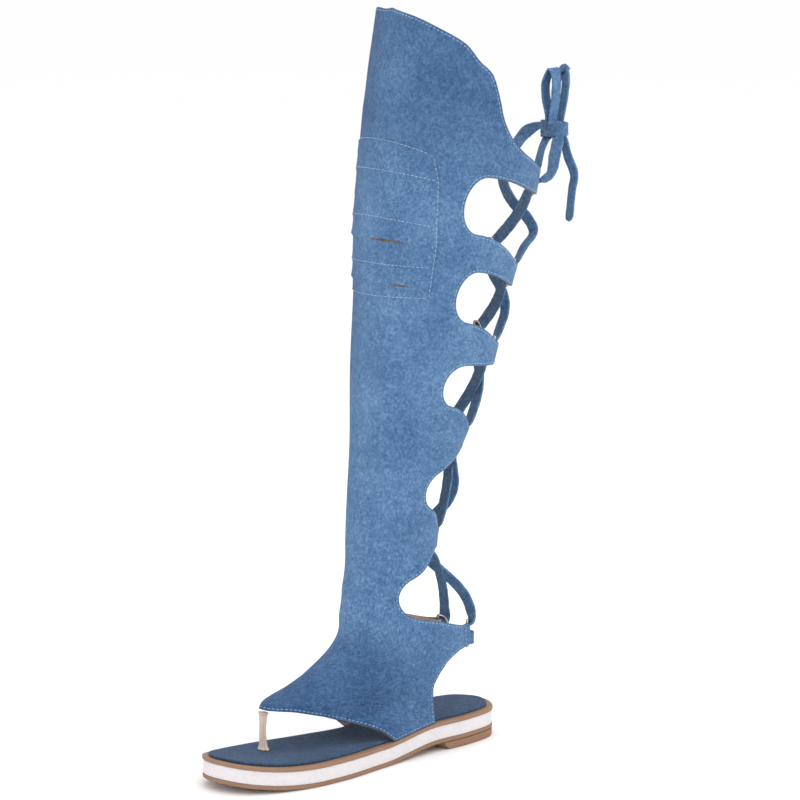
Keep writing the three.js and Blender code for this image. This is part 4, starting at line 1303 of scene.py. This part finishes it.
class SANDAL_OT_sole(bpy.types.Operator):
    """Builds the heel block and the four layers of the sole"""

    bl_idname = "sandal.sole"
    bl_label = "Sole"

    def execute(self, context):
        sole = context.scene.sandal_sole
        layers = [  # piece, CAD node, inset, rounding, slot, finish, dish
            ("sole_outsole", "outsole", 0.0004, sole.layer_round, "tan_rubber", "rubber", 0),
            ("sole_midsole", "midsole", 0.0008, sole.layer_round, "foam", "foam", 0),
            ("sole_welt", "welt", 0.0, sole.layer_round, "welt_tan", "welt", 0),
            ("sole_footbed", "insole", INSOLE_INSET, sole.footbed_round, "footbed_denim", "footbed_denim", 0.0006),
        ]
        for name, cad_node, inset, rounding, slot, finish, dish in layers:
            bottom, top = layer_heights(cad_node)
            # the layers are pressed together: each foot is let down into the gap under it
            sink = 0 if cad_node == "outsole" else GAP * 0.9
            obj = layer_mesh(name, inset, bottom - sink, top, rounding, dish)
            finish_piece(obj, [material_for(finish)], (cad_node,))
        self.heel_block(context)
        return {"FINISHED"}

    def heel_block(self, context):
        """The low heel: the sole's outline cut off by a slanted, rounded front."""
        sole = context.scene.sandal_sole
        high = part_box("heel_block")[1]
        stations, across = 34, 12
        rounding = sole.layer_round
        edge = sole_outline(0.0006)
        toe = len(edge) // 2
        outer = edge[: toe + 1]
        inner = np.concatenate([edge[toe:], edge[:1]])[::-1]
        levels = [(0, rounding), (rounding * 0.3, rounding * 0.3), (rounding, 0), (high.z - 0.0001, 0)]
        grids = []
        for level, pull in levels:
            share = level / high.z
            front = mix(HEEL_BLOCK_FRONT - HEEL_BLOCK_SLANT, HEEL_BLOCK_FRONT, share) - pull
            rows = []
            for k in range(stations + 1):
                t = 1 - math.cos(math.pi / 2 * (k + 0.12) / (stations + 0.12))
                along = mix(edge[:, 0].min() + pull, front, t)
                a = np.interp(along, outer[:, 0], outer[:, 1]) - pull
                b = np.interp(along, inner[:, 0], inner[:, 1]) + pull
                side = np.linspace(a, b, across + 1)
                fall = HEEL_FRONT_ROUND * t**6
                bow = fall * (1 - ((side - (a + b) / 2) / ((a - b) / 2)) ** 2)
                rows.append(np.column_stack([along + bow - fall, side, np.full(across + 1, level)]))
            grids.append(np.array(rows))
        order = [(0, k) for k in range(across + 1)] + [(i, across) for i in range(1, stations + 1)]
        order += [(stations, k) for k in range(across - 1, -1, -1)] + [(i, 0) for i in range(stations - 1, 0, -1)]
        points, faces = loft([np.array([grid[cell] for cell in order]) for grid in grids])
        faces = faces[:-2]
        points = list(points)

        def cap(grid, base):
            rim_at = {cell: base + n for n, cell in enumerate(order)}
            for i in range(1, stations):
                for k in range(1, across):
                    rim_at[(i, k)] = len(points)
                    points.append(grid[i, k])
            return [
                (rim_at[(i, k)], rim_at[(i + 1, k)], rim_at[(i + 1, k + 1)], rim_at[(i, k + 1)])
                for i in range(stations) for k in range(across)
            ]

        faces += cap(grids[0], 0)
        faces += [face[::-1] for face in cap(grids[-1], (len(grids) - 1) * len(order))]
        obj = new_piece("sole_heel_block", points, faces, [(p[0], p[1]) for p in points])
        outward_normals(obj)
        smooth_shading(obj, 40)
        finish_piece(obj, [material_for("rubber")], ("heel_block",))


# ------------------------------------------------------------------ upper


class SANDAL_OT_upper(bpy.types.Operator):
    """Builds the one-piece vamp and shaft with its cut edges, folded tab ends and creases"""

    bl_idname = "sandal.upper"
    bl_label = "Upper"

    def execute(self, context):
        outer, inner, flat, cloth = upper_surfaces()
        rows, columns = outer.shape[:2]
        at = np.arange(rows * columns).reshape(rows, columns)
        corners = np.stack([at[:-1, :-1], at[:-1, 1:], at[1:, 1:], at[1:, :-1]], -1)[cloth]
        edges = np.concatenate([corners[:, [k, (k + 1) % 4]] for k in range(4)])
        forward = set(map(tuple, edges))
        rim = [(a, b) for a, b in forward if (b, a) not in forward]
        total = rows * columns
        faces = [tuple(f) for f in corners]
        faces += [tuple(f[::-1] + total) for f in corners]
        faces += [(b, a, a + total, b + total) for a, b in rim]
        kinds = np.concatenate([np.zeros(len(corners)), np.ones(len(corners)), np.full(len(rim), 2)])
        used = np.unique(corners)
        used = np.concatenate([used, used + total])
        place = np.full(2 * total, -1)
        place[used] = np.arange(len(used))
        points = np.concatenate([outer.reshape(-1, 3), inner.reshape(-1, 3)])[used]
        flat = np.concatenate([flat.reshape(-1, 2)] * 2)[used]
        obj = new_piece("upper_denim", points, [tuple(place[list(f)]) for f in faces], flat, kinds)
        rounding = context.scene.sandal_cloth.edge_round
        for name in ("denim", "lining", "cut_edge"):
            obj.data.materials.append(material_for(name))
        apply_modifier(
            obj, "BEVEL", width=rounding, segments=2, limit_method="ANGLE", angle_limit=math.radians(55),
            use_clamp_overlap=True, material=2,
        )
        smooth_shading(obj, 50)
        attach(obj, "root")
        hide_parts("upper")
        return {"FINISHED"}


# ------------------------------------------------------------------ knee panel


def tuck_height(tuck, turn):
    return mix(tuck["front"], tuck["side"], (np.abs(turn) / TUCK_SIDE_TURN) ** 2)


def panel_rise(turn, height):
    """How far the knee panel stands off the upper: its tucks, each with an edge that lies over the next."""
    rise = np.zeros(np.broadcast(turn, height).shape)
    fade = 1 - smoothstep(np.abs(turn), 40, 56)
    for tuck in TUCKS:
        above = height - tuck_height(tuck, turn)
        edge = smoothstep(above, *TUCK_EDGE)
        rise += tuck["proud"] * edge * np.exp(-np.maximum(above, 0) / TUCK_FALL) * mix(0.45, 1.0, fade)
    return rise


def panel_point(turn, height, off):
    stand = crease_at(turn, height) + panel_rise(turn, height) + off
    return leg_point(turn, height) + leg_normal(turn, height) * stand[..., None]


def panel_top(turn):
    return PANEL_TOP - PANEL_TOP_DROP * (np.abs(turn) / PANEL_TOP_HALF) ** 2


class SANDAL_OT_knee_panel(bpy.types.Operator):
    """Builds the tucked panel over the knee, and dark sheets of painted shade in the folds that gape under two tucks
    """

    bl_idname = "sandal.knee_panel"
    bl_label = "Knee panel"

    def execute(self, context):
        columns, rows = 90, 104
        share = np.linspace(-1, 1, columns + 1)[None, :] * np.ones((rows + 1, 1))
        part = np.linspace(0, 1, rows + 1)[:, None] * np.ones((1, columns + 1))
        turn = share * PANEL_TURN
        for _ in range(10):
            height = mix(PANEL_FOOT, panel_top(turn), part)
            turn = share * panel_half(height)
        border = np.minimum.reduce([(1 - np.abs(share)) * 0.050, part * 0.10, (1 - part) * 0.10])
        lift = 0.00012 + 0.00045 * smoothstep(border, 0, 0.0018)
        points = panel_point(turn, height, lift).reshape(-1, 3)
        flat = np.stack([np.radians(turn) * leg["half"](height) + 0.31, height], -1).reshape(-1, 2)
        obj = new_piece("knee_panel", points, grid_faces(rows + 1, columns + 1), flat)
        apply_modifier(obj, "SOLIDIFY", thickness=0.0005, offset=-1, use_rim=True)
        smooth_shading(obj, 50)
        finish_piece(obj, [material_for("denim")])
        self.open_folds()
        return {"FINISHED"}

    # painted shade: a thin dark sheet laid in the gap of each open fold
    def open_folds(self):
        parts = []
        for k, (index, start, end, gape) in enumerate(OPEN_FOLDS):
            turns = np.linspace(start, end, 26)
            share = np.linspace(-1, 1, 5)[:, None]
            open_here = gape * np.sin(np.linspace(0.05, math.pi - 0.05, 26)) ** 0.7
            height = tuck_height(TUCKS[index], turns) - 0.0006 + share * open_here / 2
            points = panel_point(turns * np.ones((5, 1)), height, np.full(height.shape, 0.00075)).reshape(-1, 3)
            part = new_piece(f"fold_{k}", points, grid_faces(5, 26), points[:, :2])
            apply_modifier(part, "SOLIDIFY", thickness=0.0003, offset=-1, use_rim=True)
            parts.append(part)
        obj = join_pieces(parts, "knee_painted_fold_shades")
        smooth_shading(obj, 50)
        finish_piece(obj, [material_for("fold_painted_shade")])


# ------------------------------------------------------------------ topstitching


def stitch_run(line, normals, settings, start=0.0):
    """Stitches along a line on the cloth: small rounded bars, the size of the thread."""
    length = lengths_along(line)[-1]
    pitch = settings.stitch_length + settings.stitch_gap
    count = int((length - start) // pitch)
    if count < 1:
        return [], []
    data = np.concatenate([line, normals], axis=1)
    begins = start + pitch * np.arange(count)
    spots = np.linspace(0, 1, 5)
    shape = [0.35, 0.92, 1.0, 0.92, 0.35]
    points, faces = [], []
    round_thread = np.radians(np.arange(6) * 60)
    radius = settings.thread_radius
    for begin in begins:
        along = resample(data, begin + spots * settings.stitch_length)
        way = unit(np.gradient(along[:, :3], axis=0))
        out = unit(along[:, 3:])
        across = np.cross(way, out)
        rings = []
        for k, share in enumerate(spots):
            sink = -0.5 * radius + 0.75 * radius * math.sin(math.pi * share)
            spread = np.cos(round_thread)[:, None] * across[k] + np.sin(round_thread)[:, None] * out[k] * 0.8
            rings.append(along[k, :3] + out[k] * sink + spread * radius * shape[k])
        made, quads = loft(rings)
        faces += [tuple(i + len(points) for i in quad) for quad in quads]
        points += list(made)
    return points, faces


def inset_line(outer, normals, inset, into):
    """A line on the cloth moved in from an edge; into says which side the cloth lies on."""
    way = unit(np.gradient(outer, axis=0))
    return outer + unit(np.cross(normals, way)) * inset * into


def grid_line(side, cells):
    """Points and normals of the upper's outer face at grid cells of one side."""
    grid = sides[side]
    rows, columns = np.array([c[0] for c in cells]), np.array([c[1] for c in cells])
    turn, height = grid["turn"][rows, columns], grid["height"][rows, columns]
    face = leg_point(turn, height)
    stand = crease_at(turn, height)
    distance = tip_distance(side)[rows, columns]
    stand = stand * smoothstep(distance, 0.004, 0.020) * smoothstep(height - welt_top(face[..., 0]), 0.001, 0.012)
    normal = leg_normal(turn, height)
    return face + normal * stand[:, None], normal, distance


def topstitch_lines(settings):
    """Every line of topstitching on the upper, as points and normals."""
    lines = []
    for side in SIGN:
        grid = sides[side]
        sign = SIGN[side]
        starts = grid["starts"] + [len(grid["turn"]) - 1]
        filled = grid["filled"]

        def add(cells, into):
            points, normals, distance = grid_line(side, cells)
            keep = distance > FOLD + 0.001
            points, normals = points[keep], normals[keep]
            line = inset_line(points, normals, settings.stitch_inset, into * sign)
            lines.append((line, normals))

        add([(starts[-1], c) for c in range(COLUMNS + 1)], -1)
        add([(0, c) for c in range(filled[0] + 1)], 1)
        heel = [(r, filled[0]) for r in range(2, starts[1])]
        add(heel + [(starts[1], c) for c in range(filled[0], COLUMNS + 1)], 1)
        for strip in (2, 4, 6, 8, 10):
            low, high = starts[strip], starts[strip + 1]
            last = filled[low]
            cells = [(low, c) for c in range(COLUMNS, last, -1)] + [(r, last) for r in range(low, high)]
            add(cells + [(high, c) for c in range(last, COLUMNS + 1)], 1)
        for strip in TAB_STRIPS:
            low, high = starts[strip], starts[strip + 1]
            turn, height = grid["turn"][low : high + 1], grid["height"][low : high + 1]
            distance = tip_distance(side)[low : high + 1]
            turns = np.array([np.interp(FOLD, d[::-1], t[::-1]) for d, t in zip(distance, turn)])
            heights = np.array([np.interp(FOLD, d[::-1], h[::-1]) for d, h in zip(distance, height)])
            normal = leg_normal(turns, heights)
            lift = 0.00025 + crease_at(turns, heights)[:, None] * 0.3
            lines.append((leg_point(turns, heights) + normal * lift, normal))
    return lines


def panel_lines(settings):
    """The stitch lines of the knee panel: its border and the stitched tucks."""
    lines = []

    def on_panel(turn, height):
        turn, height = np.asarray(turn, float), np.asarray(height, float)
        return panel_point(turn, height, np.full(turn.shape, 0.00062)), leg_normal(turn, height)

    inset = settings.stitch_inset * 0.7
    across = np.linspace(-PANEL_TURN, PANEL_TURN, 120)
    lines.append(on_panel(across * 0.90, panel_top(across * 0.90) - inset))
    lines.append(on_panel(across * 1.08, np.full(120, PANEL_FOOT + inset)))
    up = np.linspace(PANEL_FOOT + inset, 0.4350, 90)
    for sign in (1, -1):
        edge = panel_half(up) - np.degrees(inset / leg["half"](up))
        lines.append(on_panel(sign * edge, up))
    for tuck in TUCKS:
        if tuck["stitched"]:
            reach = panel_half(tuck_height(tuck, across)) / PANEL_TURN * 0.97
            lines.append(on_panel(across * reach, tuck_height(tuck, across * reach) + 0.0012))
    return lines


class SANDAL_OT_stitching(bpy.types.Operator):
    """Sews the topstitching of the edges, the tab ends and the knee panel"""

    bl_idname = "sandal.stitching"
    bl_label = "Stitching"

    def execute(self, context):
        settings = context.scene.sandal_cloth
        seams = (("upper_topstitching", topstitch_lines(settings)), ("panel_topstitching", panel_lines(settings)))
        for name, lines in seams:
            points, faces = [], []
            for line, normals in lines:
                made, quads = stitch_run(line, normals, settings, start=0.001)
                faces += [tuple(i + len(points) for i in quad) for quad in quads]
                points += made
            if not points:
                raise RuntimeError(f"{name} has no stitches")
            obj = new_piece(name, points, faces)
            obj.data.shade_smooth()
            finish_piece(obj, [material_for("thread")])
        return {"FINISHED"}


# ------------------------------------------------------------------ rings


class SANDAL_OT_rings(bpy.types.Operator):
    """Bends the twelve D rings from round wire"""

    bl_idname = "sandal.rings"
    bl_label = "Rings"

    def execute(self, context):
        lace = context.scene.sandal_lace
        squareness = 2 / RING_SQUARENESS
        turns = np.linspace(-math.pi / 2, math.pi / 2, 41)
        deep = lace.depth * np.abs(np.cos(turns)) ** squareness
        wide = lace.half_width * np.sign(turns) * np.abs(np.sin(turns)) ** squareness
        bar = np.linspace(wide[-1], wide[0], 16)[1:-1]
        path = np.column_stack([np.concatenate([deep, np.zeros(len(bar))]), np.concatenate([wide, bar])])
        way = unit(np.roll(path, -1, axis=0) - np.roll(path, 1, axis=0))
        across = np.stack([way[:, 1], -way[:, 0]], 1)
        wire = np.radians(np.arange(14) * 360 / 14)
        for index in range(len(TABS)):
            for side in SIGN:
                seat = ring_seat(index, side)
                rings = []
                for spot, out in zip(path, across):
                    flat = spot + np.outer(np.cos(wire), out) * lace.wire
                    lift = np.sin(wire) * lace.wire
                    ring = seat["middle"] + flat[:, :1] * seat["inward"] + flat[:, 1:] * seat["up"]
                    rings.append(ring + lift[:, None] * seat["normal"])
                points, faces = loft(rings, closed=True)
                obj = new_piece(f"d_ring_{side}_{index + 1}", points, faces)
                outward_normals(obj)
                obj.data.shade_smooth()
                finish_piece(obj, [material_for("metal")], (f"ring_{side}_{index + 1}",))
        return {"FINISHED"}


# ------------------------------------------------------------------ lace

# Each crossing from the top: how far the strap from the outer and from the inner upper ring bows out,
# where along its way it stands out furthest, and how sharply it folds there.
STRAP_BOWS = [
    {LATERAL: (0.0035, 0.50, 1.0), MEDIAL: (0.0200, 0.64, 2.0)},
    {LATERAL: (0.0030, 0.50, 1.0), MEDIAL: (0.0115, 0.55, 1.2)},
    {LATERAL: (0.0030, 0.50, 1.0), MEDIAL: (0.0070, 0.50, 1.0)},
    {LATERAL: (0.0150, 0.60, 1.2), MEDIAL: (0.0050, 0.45, 1.0)},
    {LATERAL: (0.0040, 0.50, 1.0), MEDIAL: (0.0100, 0.60, 1.0)},
]


class SANDAL_OT_lacing(bpy.types.Operator):
    """Threads the lace through the rings, up the back"""

    bl_idname = "sandal.lacing"
    bl_label = "Lacing"

    def execute(self, context):
        for index in range(len(STRAP_BOWS)):
            straps = [self.crossing(context, index, side) for side in SIGN]
            obj = join_pieces(straps, f"lace_crossing_{index + 1}")
            finish_piece(obj, [material_for("strap_denim")], (f"lace_cross_{index + 1}",))
        finish_piece(self.bar(context), [material_for("strap_denim")], ("lace_bar_6",))
        return {"FINISHED"}

    def crossing(self, context, index, side):
        """A strap from one side's upper ring, under its wire, down over the wire of the other side's next ring."""
        lace = context.scene.sandal_lace
        other = MEDIAL if side == LATERAL else LATERAL
        clear, bow = lace.clear, STRAP_BOWS[index][side]
        top_normal, low_normal = ring_seat(index, side)["normal"], ring_seat(index + 1, other)["normal"]
        start = [
            ring_place(index, side, STRAP_IN_RING, RING_OFFSET, -clear),
            ring_place(index, side, STRAP_PAST_RING, UNDER_WIRE, -STRAP_PASS),
        ]
        end = [
            ring_place(index + 1, other, STRAP_PAST_RING, OVER_WIRE, STRAP_PASS),
            ring_place(index + 1, other, STRAP_IN_RING, -RING_OFFSET, clear),
        ]
        out = back_out((start[0][2] + end[-1][2]) / 2)
        flat = unit(mix(out, -BOW_FACE, 0.25))
        peak = math.log(0.5) / math.log(bow[1])
        shares = (0.16, 0.33, 0.5, 0.67, 0.84)
        line = [mix(start[-1], end[0], t) + out * bow[0] * math.sin(math.pi * t**peak) ** bow[2] for t in shares]
        route = [*start, *line, *end]
        facings = [top_normal, mix(top_normal, flat, 0.6)] + [flat] * len(line)
        facings += [mix(flat, low_normal, 0.4), low_normal]
        obj, _ = strap_mesh(f"strap_{index}_{side}", route, facings, lace.strap_width, lace.strap_thick)
        return obj

    def bar(self, context):
        lace = context.scene.sandal_lace
        last = len(TABS) - 1
        ends = {
            side: [ring_place(last, side, 0.0034, 0.0, BAR_DROP), ring_place(last, side, 0.0068, 0.0030, BAR_DROP)]
            for side in SIGN
        }
        out = back_out(TABS[last][LATERAL])
        middle = mix(ends[LATERAL][1], ends[MEDIAL][1], 0.5) + out * BAR_BOW
        route = [*ends[LATERAL], middle, *ends[MEDIAL][::-1]]
        facings = [ring_seat(last, LATERAL)["normal"]] * 2 + [out] + [ring_seat(last, MEDIAL)["normal"]] * 2
        obj, _ = strap_mesh("lace_lowest_bar", route, facings, lace.strap_width, lace.strap_thick)
        return obj


# ------------------------------------------------------------------ toe post


class SANDAL_OT_toe_post(bpy.types.Operator):
    """Shapes the toe post: two soft halves pressed together, flared into the footbed and the vamp"""

    bl_idname = "sandal.toe_post"
    bl_label = "Toe post"

    def execute(self, context):
        low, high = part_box("toe_post")
        middle = (low + high) / 2
        half_deep, half_wide = (high.x - low.x) / 3.0, (high.y - low.y) / 3.0
        select_none()
        bpy.ops.mesh.primitive_cylinder_add(
            vertices=48, radius=1, depth=1, end_fill_type="TRIFAN", location=(0, 0, 0)
        )
        post = context.object
        post.name = "toe_post_pair"
        bpy.ops.object.mode_set(mode="EDIT")
        bpy.ops.mesh.select_all(action="DESELECT")
        bpy.ops.object.mode_set(mode="OBJECT")
        for edge in post.data.edges:
            a, b = (post.data.vertices[i].co for i in edge.vertices)
            edge.select = abs(a.z - b.z) > 0.5
        bpy.ops.object.mode_set(mode="EDIT")
        bpy.ops.mesh.subdivide(number_cuts=28)
        bpy.ops.object.mode_set(mode="OBJECT")
        swell = smooth_column(
            [(0, 1.50), (0.10, 1.10), (0.30, 0.95), (0.55, 0.86), (0.75, 0.92), (0.93, 1.08), (1, 1.40)]
        )
        for vertex in post.data.vertices:
            x, y, z = vertex.co
            share = z + 0.5
            radius = math.hypot(x, y)
            turn = math.atan2(y, x)
            grow = float(swell(share))
            seam = 1 - 0.20 * math.exp(-((math.cos(turn + 0.6) / 0.16) ** 2)) * radius
            lean = 0.0006 * math.sin(math.pi * share)
            vertex.co = (
                middle.x + half_deep * grow * seam * x + lean,
                middle.y + half_wide * grow * seam * y,
                mix(low.z, high.z, share),
            )
        outward_normals(post)
        smooth_shading(post, 60)
        finish_piece(post, [material_for("post")], ("toe_post",))
        return {"FINISHED"}


# ------------------------------------------------------------------ panel and registration


PIECE_OPERATORS = (
    SANDAL_OT_camera,
    SANDAL_OT_bow,
    SANDAL_OT_sole,
    SANDAL_OT_upper,
    SANDAL_OT_knee_panel,
    SANDAL_OT_stitching,
    SANDAL_OT_rings,
    SANDAL_OT_lacing,
    SANDAL_OT_toe_post,
    SANDAL_OT_stage,
)
SETTINGS = {
    "sandal_cloth": SandalClothSettings,
    "sandal_sole": SandalSoleSettings,
    "sandal_lace": SandalLaceSettings,
    "sandal_stage": SandalStageSettings,
}


class SANDAL_PT_pieces(bpy.types.Panel):
    """The sandal's settings and the steps that build it"""

    bl_label = "Gladiator sandal"
    bl_idname = "SANDAL_PT_pieces"
    bl_space_type = "VIEW_3D"
    bl_region_type = "UI"
    bl_category = "Sandal"

    def draw(self, context):
        for operator in PIECE_OPERATORS:
            self.layout.operator(operator.bl_idname)
        for name, group in SETTINGS.items():
            box = self.layout.box()
            for setting in group.__annotations__:
                box.prop(getattr(context.scene, name), setting)


def register():
    for group in SETTINGS.values():
        bpy.utils.register_class(group)
    for operator in PIECE_OPERATORS:
        bpy.utils.register_class(operator)
    bpy.utils.register_class(SANDAL_PT_pieces)
    for name, group in SETTINGS.items():
        setattr(bpy.types.Scene, name, bpy.props.PointerProperty(type=group))


def unregister():
    for name in SETTINGS:
        delattr(bpy.types.Scene, name)
    bpy.utils.unregister_class(SANDAL_PT_pieces)
    for operator in reversed(PIECE_OPERATORS):
        bpy.utils.unregister_class(operator)
    for group in reversed(list(SETTINGS.values())):
        bpy.utils.unregister_class(group)


def main():
    register()
    for operator in PIECE_OPERATORS:
        group, name = operator.bl_idname.split(".")
        getattr(getattr(bpy.ops, group), name)()


if __name__ == "__main__":
    main()
